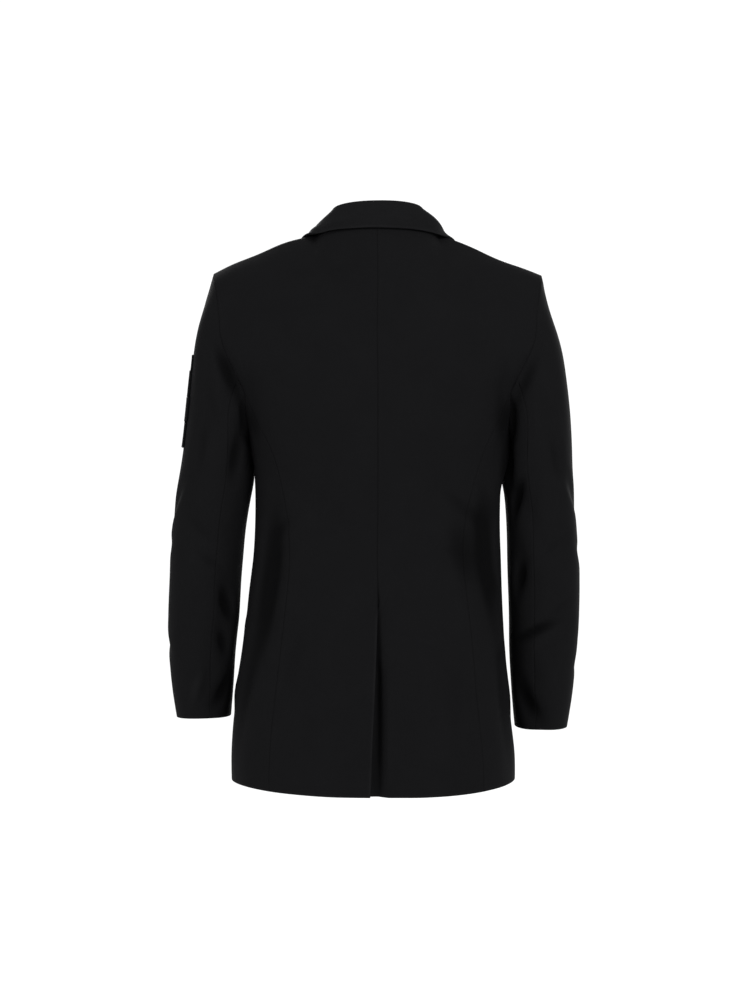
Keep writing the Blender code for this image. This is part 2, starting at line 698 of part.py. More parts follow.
def wall(name, outer, inner, finish):
    """A closed wall between two grids of points, modelled by extruding one of them."""
    rows, columns = outer.shape[0] - 1, outer.shape[1] - 1
    model = bmesh.new()
    bmesh.ops.create_grid(model, x_segments=columns, y_segments=rows, size=0.5)
    place = model.verts.layers.int.new("place")
    count = (rows + 1) * (columns + 1)
    for number, vertex in enumerate(model.verts):
        vertex[place] = number
        vertex.co = inner[divmod(number, columns + 1)]
    grown = bmesh.ops.extrude_face_region(model, geom=list(model.faces))
    for item in grown["geom"]:
        if isinstance(item, bmesh.types.BMVert):
            item.co = outer[divmod(item[place], columns + 1)]
            item[place] += count
    split_faces(model, place, columns, count)
    bmesh.ops.recalc_face_normals(model, faces=list(model.faces))
    return add_object(name, model, finish)


def split_faces(model, place, columns, count):
    """Split a wall's faces along set diagonals; a rim is split as its neighbour's rim is."""
    for face in list(model.faces):
        numbered = {vertex[place]: vertex for vertex in face.verts}
        low, high = min(numbered), max(numbered)
        if low >= count or high < count:
            first, second = numbered[low], numbered[low + columns + 2]
        else:
            outer = [vertex for vertex in face.verts if vertex[place] >= count]
            first = max(outer, key=lambda vertex: vertex.co.dot(RIM_ORDER))
            beside = [edge.other_vert(first) for edge in first.link_edges if edge in face.edges]
            second = next(vertex for vertex in face.verts
                          if vertex is not first and vertex not in beside)
        bmesh.utils.face_split(face, first, second)


def add_object(name, model, finish):
    """Make a scene object of a model."""
    mesh = bpy.data.meshes.new(name)
    model.to_mesh(mesh)
    model.free()
    mesh.shade_smooth()
    mesh.set_sharp_from_angle(angle=SHARP_ANGLE)
    made = bpy.data.objects.new(name, mesh)
    made.data.materials.append(finish)
    bpy.context.collection.objects.link(made)
    return made


def surface_of(grids):
    """The outer faces of some panels, to lay pieces on."""
    points, cells = [], []
    for grid in grids:
        start = len(points)
        width = grid.shape[1]
        points += [Vector(point) for point in grid.reshape(-1, 3)]
        for i in range(grid.shape[0] - 1):
            for j in range(width - 1):
                a = start + i * width + j
                cells += [(a, a + 1, a + width + 1), (a, a + width + 1, a + width)]
    return BVHTree.FromPolygons(points, cells)


def clear_of(surface, point, gap):
    """The point, moved out where it lies less than the gap above the surface."""
    place, normal, _, _ = surface.find_nearest(Vector(point))
    above = (Vector(point) - place).dot(normal)
    return point + np.array(normal) * max(0.0, gap - above)


def lifted(grid, surface, gap, rounds=8, samples=4):
    """The grid, raised wherever one of its facets comes nearer to the surface than the gap."""
    grid = grid.copy()
    shares = [(a / samples, b / samples, (samples - a - b) / samples)
              for a in range(samples + 1) for b in range(samples + 1 - a)]
    facets = [facet for i in range(grid.shape[0] - 1) for j in range(grid.shape[1] - 1)
              for facet in (((i, j), (i, j + 1), (i + 1, j + 1)),
                            ((i, j), (i + 1, j + 1), (i + 1, j)))]
    for _ in range(rounds):
        rise = np.zeros_like(grid)
        for facet in facets:
            for share in shares:
                point = sum(part * grid[corner] for part, corner in zip(share, facet))
                push = clear_of(surface, point, gap) - point
                for corner in facet:
                    if np.linalg.norm(push) > np.linalg.norm(rise[corner]):
                        rise[corner] = push
        grid += rise
        if abs(rise).max() < SETTLED:
            break
    return grid


# ---------------------------------------------------------------------------------------------
# Pieces laid on the panels
# ---------------------------------------------------------------------------------------------

def collar(surface):
    """Stand and fall in one folded piece round the neck, from gorge to gorge; as a grid."""
    table = [row.share for row in COLLAR]
    halves = []
    for side in (RIGHT, LEFT):
        back = spaced(mirrored(BACK_NECK, side), NECK_COLUMNS)
        front = spaced(mirrored(FRONT_NECK, side), NECK_COLUMNS)[::-1]
        seam = np.vstack([back, front[1:]])
        half = []
        for step, base in enumerate(seam):
            row = CollarRow(*read_table(table, COLLAR, step / (len(seam) - 1)))
            fold = mirrored((row.fold_x, row.fold_y, row.fold_z), side)
            edge = mirrored((row.edge_x, row.edge_y, row.edge_z), side)
            half.append(collar_section(surface, base, fold, edge, row.share))
        halves.append(half)
    strip = halves[0][::-1] + halves[1][1:]
    grid = np.array(strip).transpose(1, 0, 2)
    grid[-FALL_ROWS:] = lifted(grid[-FALL_ROWS:], surface, FALL_HOVER)
    return grid


def collar_section(surface, base, fold, edge, place):
    """Points up the stand, over the fold and down the fall at one place round the neck."""
    up = unit(fold - base)
    out = edge - fold
    out = unit(out - up * np.dot(out, up))
    stand_top = fold - out * COLLAR_FOLD_RADIUS
    fall_top = fold + out * COLLAR_FOLD_RADIUS
    points = [base + (stand_top - base) * k / STAND_ROWS for k in range(STAND_ROWS + 1)]
    for turn in COLLAR_FOLD_TURNS:
        angle = math.radians(turn)
        points.append(fold + COLLAR_FOLD_RADIUS * (math.sin(angle) * up - math.cos(angle) * out))
    for k in range(FALL_ROWS + 1):
        share = k / FALL_ROWS
        point = fall_top + (edge - fall_top) * share
        most = FALL_HOVER + FALL_RISE * (1 - share) + FALL_FREE * max(0.0, place - FALL_FREE_FROM)
        points.append(landed(surface, point, most) if share > FALL_LANDS else point)
    return points


def landed(surface, point, most):
    """The point, brought to between LAID and the most that it may be above the surface."""
    place, normal, _, _ = surface.find_nearest(Vector(point))
    above = (Vector(point) - place).dot(normal)
    return point + np.array(normal) * (float(np.clip(above, LAID, most)) - above)


def front_at(surface, side, x, height):
    """Place and outward direction of a front at a point of its front view."""
    place, normal, _, _ = surface.ray_cast(Vector((side * x, -CLEAR, height)), Vector((0, 1, 0)))
    if place is None:
        place, normal, _, _ = surface.find_nearest(Vector((side * x, -CLEAR, height)))
    if normal.y > 0:
        normal = -normal
    return np.array(place), np.array(normal)


def roll_at(grid, height):
    """Point of a front's edge at a height."""
    edge = grid[:, 0] if abs(grid[0, 0, 0]) < abs(grid[0, -1, 0]) else grid[:, -1]
    edge = edge[np.argsort(edge[:, 2])]
    return np.array([np.interp(height, edge[:, 2], edge[:, axis]) for axis in range(3)])


def lapel(name, side, grid, surface, finish):
    """The lapel, turned out from the roll line and lying on its front."""
    places = np.arange(len(LAPEL))
    under = []
    for station in np.linspace(0, len(LAPEL) - 1, LAPEL_ROWS + 1):
        row = LapelRow(*read_table(places, LAPEL, station))
        roll = roll_at(grid, row.roll_height)
        line = []
        for j in range(LAPEL_COLUMNS + 1):
            share = j / LAPEL_COLUMNS
            x = side * roll[0] + LAPEL_SETBACK + (row.edge_x - side * roll[0]) * share
            height = row.roll_height + (row.edge_height - row.roll_height) * share
            place, normal = front_at(surface, side, x, height)
            belly = LAPEL_BELLY * (row.edge_x - side * roll[0]) * math.sin(math.pi * share)
            line.append(place + normal * (LAID + belly))
        under.append(line)
    under = lifted(np.array(under), surface, LAID / 2)
    way = through_cloth({name: under})[name]
    if way[0, 0, 1] > 0:
        way = -way
    return wall(name, under + way, under, finish)


def pocket_flap(name, side, surface, finish):
    """Plain flap over the hip pocket, its lower front corner cut off a little."""
    under = []
    for i in range(FLAP_ROWS + 1):
        line = []
        for j in range(FLAP_COLUMNS + 1):
            turn = FLAP_FROM + (FLAP_TO - FLAP_FROM) * j / FLAP_COLUMNS
            height = FLAP_TOP - FLAP_SLANT * j / FLAP_COLUMNS - FLAP_DEPTH * i / FLAP_ROWS
            if (i, j) == (FLAP_ROWS, FLAP_COLUMNS):
                height += FLAP_CORNER
            line.append(clear_of(surface, on_torso(side, height, turn), LAID))
        under.append(line)
    under = lifted(np.array(under), surface, LAID / 2)
    way = through_cloth({name: under})[name]
    if np.dot(way[0, 0], under[0, 0] - TORSO_MIDDLE) < 0:
        way = -way
    return wall(name, under + way, under, finish)


def arm_patch(name, patch, surface, finish):
    """Plain patch sewn on the outside of the arm."""
    under = []
    for i in range(PATCH_ROWS + 1):
        line = []
        for j in range(PATCH_COLUMNS + 1):
            height = patch.top + (patch.bottom - patch.top) * i / PATCH_ROWS
            y = patch.shift + PATCH_WIDTH * (j / PATCH_COLUMNS - 0.5)
            place, normal, _, _ = surface.ray_cast(Vector((CLEAR, y, height)), Vector((-1, 0, 0)))
            line.append(np.array(place) + np.array(normal) * LAID)
        under.append(line)
    under = lifted(np.array(under), surface, LAID / 2)
    way = through_cloth({name: under}, patch.thickness)[name]
    if way[0, 0, 0] < 0:
        way = -way
    return wall(name, under + way, under, finish)


def button(name, surface, height, finish):
    """Turned button with a raised rim and four holes, lying on the left front."""
    place, normal = front_at(surface, LEFT, 0.0, height)
    model = bmesh.new()
    points = [model.verts.new((x * BUTTON_RADIUS, 0.0, z * BUTTON_THICKNESS))
              for x, z in BUTTON_OUTLINE]
    edges = [model.edges.new(pair) for pair in zip(points, points[1:])]
    bmesh.ops.spin(model, geom=points + edges, cent=(0, 0, 0), axis=(0, 0, 1),
                   angle=math.tau, steps=BUTTON_STEPS, use_merge=True, use_duplicate=False)
    bmesh.ops.remove_doubles(model, verts=list(model.verts), dist=SETTLED)
    bmesh.ops.recalc_face_normals(model, faces=list(model.faces))
    made = add_object(name, model, finish)
    cutters = bmesh.new()
    for k in range(HOLES):
        angle = math.tau * (k + 0.5) / HOLES
        grown = bmesh.ops.create_cone(cutters, cap_ends=True, segments=HOLE_STEPS,
                                      radius1=HOLE_RADIUS, radius2=HOLE_RADIUS,
                                      depth=BUTTON_THICKNESS * HOLE_REACH)
        bmesh.ops.translate(cutters, verts=grown["verts"],
                            vec=(HOLE_CIRCLE * math.cos(angle), HOLE_CIRCLE * math.sin(angle), 0))
    mesh = bpy.data.meshes.new(name + "_holes")
    cutters.to_mesh(mesh)
    cutters.free()
    holes = bpy.data.objects.new(name + "_holes", mesh)
    holes.hide_render = True
    holes.display_type = "WIRE"
    bpy.context.collection.objects.link(holes)
    holes.parent = made
    cut = made.modifiers.new("Holes", "BOOLEAN")
    cut.operation = "DIFFERENCE"
    cut.solver = "EXACT"
    cut.object = holes
    made.location = place + normal * LAID * 1.5
    made.rotation_euler = Vector(normal).to_track_quat("Z", "Y").to_euler()
    return made


# ---------------------------------------------------------------------------------------------
# The whole garment
# ---------------------------------------------------------------------------------------------

def main():
    """Build every piece."""
    for thing in list(bpy.data.objects):
        bpy.data.objects.remove(thing, do_unlink=True)
    panels = {}
    for side, word in ((LEFT, "left"), (RIGHT, "right")):
        panels["back_" + word] = faces_out(back_panel(side), TORSO_MIDDLE)
        panels["side_" + word] = faces_out(side_panel(side), TORSO_MIDDLE)
        panels["front_" + word] = faces_out(front_panel(side), TORSO_MIDDLE)
        upper, under = sleeve_panels(side)
        arm_middle = mirrored(ARM_MIDDLE, side)
        panels["upper_sleeve_" + word] = faces_out(upper, arm_middle)
        panels["under_sleeve_" + word] = faces_out(under, arm_middle)
    torso = [grid for name, grid in panels.items() if "sleeve" not in name]
    panels["collar"] = faces_out(collar(surface_of(torso)), NAPE, row=0)
    ways = through_cloth(panels)
    outer = {}
    for name, grid in panels.items():
        colour = COLLAR_CLOTH if name == "collar" else BLACK_CLOTH
        outer[name] = drawn_in(grid, SEAM / 2)
        wall(name, outer[name], drawn_in(grid + ways[name], SEAM / 2),
             material(name + "_cloth", colour, CLOTH_ROUGHNESS))

    for side, word in ((LEFT, "left"), (RIGHT, "right")):
        front = outer["front_" + word]
        lapel("lapel_" + word, side, front, surface_of([front]),
              material(f"lapel_{word}_cloth", COLLAR_CLOTH, CLOTH_ROUGHNESS))
        pocket_flap("pocket_flap_" + word, side, surface_of([outer["side_" + word], front]),
                    material(f"pocket_flap_{word}_cloth", BLACK_CLOTH, CLOTH_ROUGHNESS))
    arm = surface_of([outer["upper_sleeve_left"]])
    for count, patch in enumerate(PATCHES, 1):
        arm_patch(f"arm_patch_{count}", patch, arm,
                  material(f"arm_patch_{count}_cloth", BLACK_CLOTH, CLOTH_ROUGHNESS))
    left_front = surface_of([outer["front_left"]])
    for word, height in zip(("top", "low"), BUTTON_HEIGHTS):
        button("button_" + word, left_front, height,
               material(f"button_{word}_plastic", BUTTON_BLACK, BUTTON_ROUGHNESS))


main()
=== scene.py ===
"""Looks of a single-breasted blazer: its cloth, sewing, buttons and the studio it is shown in.

Metres, +Z up. The front faces -Y and the wearer's left is +X; the origin is the nape. Each piece
of cloth is a thin shell grown from its solid in the frame: the solid's facets are made into a
quad net, rounded, and pressed with listed creases. Sewing is laid on those shells.
"""
import logging
import math
from dataclasses import dataclass, field
from enum import Enum
from typing import Callable, Iterable

import bmesh
import bpy
import numpy as np
from mathutils import Matrix, Vector, noise
from mathutils.bvhtree import BVHTree
from mathutils.kdtree import KDTree


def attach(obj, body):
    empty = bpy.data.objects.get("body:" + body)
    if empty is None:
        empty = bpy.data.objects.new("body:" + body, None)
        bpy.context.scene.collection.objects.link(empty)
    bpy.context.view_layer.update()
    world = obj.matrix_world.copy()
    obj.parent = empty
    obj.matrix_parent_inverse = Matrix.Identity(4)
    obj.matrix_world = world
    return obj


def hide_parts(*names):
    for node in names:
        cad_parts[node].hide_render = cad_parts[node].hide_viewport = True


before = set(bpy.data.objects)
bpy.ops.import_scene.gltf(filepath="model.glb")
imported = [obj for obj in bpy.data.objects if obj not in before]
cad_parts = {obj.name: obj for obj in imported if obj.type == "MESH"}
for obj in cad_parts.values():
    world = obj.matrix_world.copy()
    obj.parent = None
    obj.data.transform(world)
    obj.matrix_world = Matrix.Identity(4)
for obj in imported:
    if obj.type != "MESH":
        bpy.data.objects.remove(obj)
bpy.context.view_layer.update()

LOG = logging.getLogger("blazer")
ROOT = "root"

EDGE_MARK = "edge_mark"      # attribute of the cloth: 1 along pressed edges, -1 along seams
SHADE_AND_HIGHLIGHT_MARK = "painted_fold_shading"      # attribute of the cloth: 1 in its hollows, -1 on its ridges; the suiting paints shade in the hollows and a highlight on the ridges from it

Number = int | float
Colour = tuple[float, float, float]
Place = tuple[float, float, float]


# ---- Shader sockets and node trees ----

class Wire:
    """A shader value that Python's operators work on."""

    def __init__(self, paint: "Paint", socket: bpy.types.NodeSocket) -> None:
        """Wrap a socket.

        Args:
            paint: The material whose tree holds the socket.
            socket: The output that gives the value.
        """
        self.paint = paint
        self.socket = socket

    def _math(self, operation: str, one: "Wire | Number", two: "Wire | Number") -> "Wire":
        """Add one Math node.

        Args:
            operation: The node's operation.
            one: First operand.
            two: Second operand.

        Returns:
            The node's result.
        """
        made = self.paint.node("ShaderNodeMath", {"operation": operation}, {0: one, 1: two})
        return Wire(self.paint, made.outputs[0])

    def __add__(self, other: "Wire | Number") -> "Wire":
        """Sum."""
        return self._math("ADD", self, other)

    __radd__ = __add__

    def __sub__(self, other: "Wire | Number") -> "Wire":
        """Difference."""
        return self._math("SUBTRACT", self, other)

    def __rsub__(self, other: "Wire | Number") -> "Wire":
        """Difference from a number."""
        return self._math("SUBTRACT", other, self)

    def __mul__(self, other: "Wire | Number") -> "Wire":
        """Product."""
        return self._math("MULTIPLY", self, other)

    __rmul__ = __mul__

    def __truediv__(self, other: "Wire | Number") -> "Wire":
        """Quotient."""
        return self._math("DIVIDE", self, other)

    def __rtruediv__(self, other: "Wire | Number") -> "Wire":
        """A number divided by this."""
        return self._math("DIVIDE", other, self)

    def __pow__(self, other: "Wire | Number") -> "Wire":
        """Power."""
        return self._math("POWER", self, other)

    def __abs__(self) -> "Wire":
        """Size without its sign."""
        return self._math("ABSOLUTE", self, 0.0)

    def sine(self) -> "Wire":
        """Sine of the value in radians."""
        return self._math("SINE", self, 0.0)


class Paint:
    """One material and the one way that its nodes are added."""

    def __init__(self, name: str) -> None:
        """Start an empty material.

        Args:
            name: The material's name.
        """
        self.material = bpy.data.materials.new(name)
        self.material.use_nodes = True
        self.tree = self.material.node_tree
        self.tree.nodes.clear()

    def node(self, kind: str, settings: dict, inputs: dict) -> bpy.types.Node:
        """Add any node.

        Args:
            kind: Blender's type name of the node.
            settings: Attributes, which are set first.
            inputs: Values or wires by socket name or number.

        Returns:
            The node.
        """
        made = self.tree.nodes.new(kind)
        for key, value in settings.items():
            setattr(made, key, value)
        for key, value in inputs.items():
            if isinstance(value, Wire):
                self.tree.links.new(value.socket, made.inputs[key])
            else:
                made.inputs[key].default_value = value
        return made

    def wire(self, kind: str, settings: dict, inputs: dict, output: "str | int" = 0) -> Wire:
        """Add a node and wrap one of its outputs.

        Args:
            kind: Blender's type name of the node.
            settings: As for node().
            inputs: As for node().
            output: The output's name or number.

        Returns:
            The wrapped output.
        """
        return Wire(self, self.node(kind, settings, inputs).outputs[output])

    def mix(self, factor: "Wire | Number", one: "Wire | Colour", two: "Wire | Colour") -> Wire:
        """Mix two colours.

        Args:
            factor: 0 gives one, 1 gives two.
            one: First colour.
            two: Second colour.

        Returns:
            The mixed colour.
        """
        made = self.tree.nodes.new("ShaderNodeMix")
        made.data_type = "RGBA"
        for index, value in ((0, factor), (6, one), (7, two)):
            if isinstance(value, Wire):
                self.tree.links.new(value.socket, made.inputs[index])
            else:
                made.inputs[index].default_value = value if index == 0 else (*value, 1.0)
        return Wire(self, made.outputs[2])

    def between(self, value: Wire, low: float, high: float,
                to_low: float = 0.0, to_high: float = 1.0) -> Wire:
        """Map a range smoothly onto another.

        Args:
            value: What is mapped.
            low: Start of its range.
            high: End of its range.
            to_low: Result at the start.
            to_high: Result at the end.

        Returns:
            The mapped value.
        """
        return self.wire("ShaderNodeMapRange", {"interpolation_type": "SMOOTHSTEP"},
                         {"Value": value, "From Min": low, "From Max": high,
                          "To Min": to_low, "To Max": to_high})

    def place(self) -> Wire:
        """Where on the garment the surface is."""
        return self.wire("ShaderNodeTexCoord", {}, {}, "Object")

    def noise(self, place: Wire, size: float, detail: float, **more: float) -> Wire:
        """Noise from 0 to 1 in grains of a size, with more of the node's inputs by name."""
        return self.wire("ShaderNodeTexNoise", {}, {
            "Vector": place, "Scale": 1.0 / size, "Detail": detail, **more})

    def bump(self, strength: float, height: float, shape: Wire, **more: Wire) -> Wire:
        """Relief of a height, with more of the node's inputs by name."""
        return self.wire("ShaderNodeBump", {}, {
            "Strength": strength, "Distance": height, "Height": shape, **more})

    def parts(self, vector: Wire) -> list[Wire]:
        """X, Y and Z of a vector."""
        split = self.node("ShaderNodeSeparateXYZ", {}, {"Vector": vector})
        return [Wire(self, split.outputs[axis]) for axis in range(3)]

    def finish(self, inputs: dict) -> bpy.types.Material:
        """Send one Principled shader to the surface.

        Args:
            inputs: Values or wires by the shader's socket names.

        Returns:
            The material.
        """
        shader = self.node("ShaderNodeBsdfPrincipled", {}, inputs)
        out = self.node("ShaderNodeOutputMaterial", {}, {})
        self.tree.links.new(shader.outputs[0], out.inputs["Surface"])
        return self.material


# ---- Finishes ----

@dataclass(frozen=True)
class Suiting:
    """Fine worsted twill, piece-dyed black."""

    name: str
    dark: Colour = (0.0019, 0.0019, 0.0021)
    light: Colour = (0.0042, 0.0042, 0.0045)
    worn: Colour = (0.0070, 0.0070, 0.0074)     # worn along pressed edges; painted highlight on the ridges of the creases
    deep: Colour = (0.0010, 0.0010, 0.0011)     # dark of the seams; painted shade in the hollows of the creases
    pitch: float = 0.0009    # spacing of the twill's ribs
    relief: float = 0.00009    # height of the ribs
    fibre: float = 0.0006
    cloud: float = 0.045    # size of its faint unevenness
    slub: float = 0.0007    # height of that unevenness
    roughness: float = 0.84
    sheen: float = 0.002
    gloss: float = 0.016    # specular level

    def material(self) -> bpy.types.Material:
        """Build the material.

        Returns:
            The cloth's material.
        """
        paint = Paint(self.name)
        place = paint.place()
        facing = paint.wire("ShaderNodeNewGeometry", {}, {}, "Normal")
        ribs = self._ribs(paint, place, facing)
        fibre = paint.noise(place, self.fibre, 2.0)
        cloud = paint.noise(place, self.cloud, 4.0, Roughness=0.6)
        edge = paint.wire("ShaderNodeAttribute", {"attribute_name": EDGE_MARK}, {}, "Fac")
        crease_shading = paint.wire("ShaderNodeAttribute", {"attribute_name": SHADE_AND_HIGHLIGHT_MARK}, {}, "Fac")
        worn = paint.between(edge * (cloud + 0.35), 0.15, 0.95, 0.0, 0.28)
        ridge_highlight = paint.between(0 - crease_shading, 0.05, 0.8, 0.0, 0.3)
        tone = ribs * 0.45 + fibre * 0.35 + cloud * 0.20
        colour = paint.mix(paint.between(tone, 0.25, 0.75), self.dark, self.light)
        # painted shade: the hollows of the creases are darkened towards the deep colour
        colour = paint.mix(paint.between(crease_shading, 0.10, 1.0, 0.0, 0.85), colour, self.deep)
        # painted highlight: the ridges of the creases are lightened towards the worn colour
        colour = paint.mix(ridge_highlight, colour, self.worn)
        colour = paint.mix(worn, colour, self.worn)
        colour = paint.mix(paint.between(0 - edge, 0.6, 1.3, 0.0, 0.3), colour, self.deep)
        rough = self.roughness + (cloud - 0.5) * 0.16 + (0.5 - ribs) * 0.08 - worn * 0.08
        weave = paint.bump(0.6, self.relief, ribs * 0.7 + fibre * 0.5)
        return paint.finish({
            "Base Color": colour, "Roughness": rough,
            "Normal": paint.bump(0.35, self.slub, cloud, Normal=weave),
            "Specular IOR Level": self.gloss, "Sheen Weight": self.sheen, "Sheen Roughness": 0.5,
            "Sheen Tint": (0.8, 0.82, 0.9, 1.0)})

    def _ribs(self, paint: Paint, place: Wire, facing: Wire) -> Wire:
        """Twill ribs that climb to the right on every side of the garment.

        Args:
            paint: The material.
            place: Object coordinates.
            facing: The surface's normal.

        Returns:
            Height of the ribs, 0 to 1.
        """
        x, y, z = paint.parts(place)
        towards = [abs(part) ** 4.0 for part in paint.parts(facing)]
        total = towards[0] + towards[1] + towards[2]
        planes = ((y, z), (x, z), (x, y))
        ribs = None
        for share, (across, up) in zip(towards, planes):
            wave = ((across * 0.9 + up) * (math.tau / self.pitch)).sine()
            over = ((across * 1.4 - up * 0.5) * (math.tau / self.pitch)).sine()
            part = (wave * 0.36 + over * 0.14 + 0.5) * share
            ribs = part if ribs is None else ribs + part
        return ribs / total


@dataclass(frozen=True)
class ButtonPlastic:
    """Cast black polyester, satin on its face."""

    name: str
    dark: Colour = (0.0025, 0.0025, 0.0027)
    light: Colour = (0.0065, 0.0062, 0.0060)
    swirl: float = 0.006
    grain: float = 0.0005
    relief: float = 0.00003
    roughness: float = 0.36
    gloss: float = 0.13

    def material(self) -> bpy.types.Material:
        """Build the material.

        Returns:
            The buttons' material.
        """
        paint = Paint(self.name)
        swirl = paint.noise(paint.place(), self.swirl, 3.0, Distortion=1.5)
        grain = paint.noise(paint.place(), self.grain, 2.0)
        colour = paint.mix(paint.between(swirl, 0.35, 0.75), self.dark, self.light)
        return paint.finish({
            "Base Color": colour, "Roughness": self.roughness + (grain - 0.5) * 0.12,
            "Normal": paint.bump(0.2, self.relief, grain), "Specular IOR Level": self.gloss})


@dataclass(frozen=True)
class SewingThread:
    """Twisted polyester thread."""

    name: str
    dark: Colour = (0.0018, 0.0018, 0.0020)
    light: Colour = (0.0065, 0.0065, 0.0070)
    twist: float = 0.0005
    relief: float = 0.00004
    roughness: float = 0.5
    gloss: float = 0.06

    def material(self) -> bpy.types.Material:
        """Build the material.

        Returns:
            The thread's material.
        """
        paint = Paint(self.name)
        x, y, z = paint.parts(paint.place())
        strand = ((x + y * 0.8 + z * 1.2) * (math.tau / self.twist)).sine() * 0.5 + 0.5
        return paint.finish({
            "Base Color": paint.mix(strand, self.dark, self.light),
            "Roughness": self.roughness + strand * 0.1,
            "Normal": paint.bump(0.5, self.relief, strand),
            "Specular IOR Level": self.gloss, "Sheen Weight": 0.01})


@dataclass(frozen=True)
class StudioPaper:
    """Seamless pale paper."""

    name: str
    colour: Colour = (0.98, 0.98, 0.98)
    uneven: float = 0.985
    grain: float = 1 / 60
    roughness: float = 0.9

    def material(self) -> bpy.types.Material:
        """Build the material.

        Returns:
            The paper's material.
        """
        paint = Paint(self.name)
        grain = paint.noise(paint.place(), self.grain, 2.0)
        toned = paint.mix(grain, self.colour, tuple(part * self.uneven for part in self.colour))
        return paint.finish({
            "Base Color": toned, "Roughness": self.roughness, "Specular IOR Level": 0.1})


# ---- Creases ----

class Face(Enum):
    """A side of the garment that a crease is placed on, by the way its viewer looks."""

    BACK = (0.0, -1.0, 0.0)
    FRONT = (0.0, 1.0, 0.0)
    LEFT = (-1.0, 0.0, 0.0)
    RIGHT = (1.0, 0.0, 0.0)


@dataclass(frozen=True)
class Crease:
    """A soft trough, or a ridge where its depth is negative.

    Attributes:
        face: The side of the garment it is seen on.
        across: X of its middle, or Y on the left and right faces.
        height: Z of its middle.
        lean: Degrees that its top leans towards +X, or +Y, from upright.
        length: From end to end.
        width: From lip to lip.
        depth: How deep it is pressed at its middle.
        bow: How far its middle bows sideways from its ends.
        only: The one node that it is pressed in, or all that it meets where there is none.
    """

    face: Face
    across: float
    height: float
    lean: float
    length: float
    width: float
    depth: float
    bow: float = 0.0
    only: str = ""


@dataclass(frozen=True)
class Fullness:
    """A place where the cloth stands out, or is held against what is beside it.

    Attributes:
        pieces: The nodes' names that it moves, or all where there are none.
        place: Its middle.
        way: The way it moves the cloth, and how far.
        reach: How far it spreads along each axis.
    """

    pieces: tuple[str, ...]
    place: Place
    way: Place
    reach: Place


class PressedCloth:
    """All the creases, set on the solids, and the cloth's faint unevenness."""

    REACH = 0.034            # half-thickness of the layer that a crease moves
    FULL_MARK = 0.0068       # a crease this deep is marked fully, for the full painted shade
    UNEVEN = 0.0013          # size of the faint waves all over the cloth
    WAVE = 0.075             # spacing of those waves
    SEED = 7                 # those waves are the same each run
    LIP = 0.35               # height of a trough's lips, as a share of its depth
    CAST = 0.6               # a crease's place is looked for from this far off
    RUN_OUT, STEEP, LIP_STEEP = 1.6, 1.8, 0.9    # how fast ends, sides and lips die out

    def __init__(self, creases: Iterable[Crease], fullness: Iterable[Fullness],
                 solids: BVHTree) -> None:
        """Find each crease's place on the cloth.

        Args:
            creases: The creases.
            fullness: The places that stand out.
            solids: The frame's surface.
        """
        noise.seed_set(self.SEED)
        self.fullness = tuple(fullness)
        self.set_creases = []
        for crease in creases:
            look = Vector(crease.face.value)
            sideways = Vector((0, 1, 0)) if look.x else Vector((1, 0, 0))
            start = sideways * crease.across + Vector((0, 0, crease.height)) - look * self.CAST
            middle, normal, _, _ = solids.ray_cast(start, look)
            if middle is None:
                LOG.warning("crease at %.3f, %.3f meets no cloth", crease.across, crease.height)
                continue
            if normal.dot(look) > 0:
                normal = -normal
            lean = math.radians(crease.lean)
            along = sideways * math.sin(lean) + Vector((0, 0, math.cos(lean)))
            along = (along - normal * along.dot(normal)).normalized()
            self.set_creases.append((crease, np.array(middle), np.array(normal), np.array(along),
                                     np.array(normal.cross(along))))

    def press(self, points: np.ndarray, node: str) -> tuple[np.ndarray, np.ndarray]:
        """Move points of the cloth.

        Args:
            points: Places, one to a row.
            node: The node whose cloth they are on.

        Returns:
            The places, pressed, and how deep in a hollow each one lies, from -1 to 1.
        """
        moved = np.array([noise.noise_vector(Vector(point) / self.WAVE) for point in points])
        moved *= self.UNEVEN
        depth = np.zeros(len(points))
        for crease, middle, normal, along, beside in self.set_creases:
            if crease.only not in ("", node):
                continue
            away = points - middle
            run = away @ along / (crease.length / 2)
            side = away @ beside - crease.bow * (1 - run * run)
            side /= crease.width / 2
            deep = away @ normal / self.REACH
            fade = np.exp(-run**2 * self.RUN_OUT - deep**4)
            trough = (np.exp(-side**2 * self.STEEP)
                      - self.LIP * side**2 * np.exp(-side**2 * self.LIP_STEEP))
            moved -= np.outer(crease.depth * fade * trough, normal)
            depth += crease.depth * fade * trough
        for place in self.fullness:
            if not place.pieces or node in place.pieces:
                away = (points - np.array(place.place)) / np.array(place.reach)
                moved += np.outer(np.exp(-(away**2).sum(axis=1)), place.way)
        return points + moved, np.clip(depth / self.FULL_MARK, -1.0, 1.0)


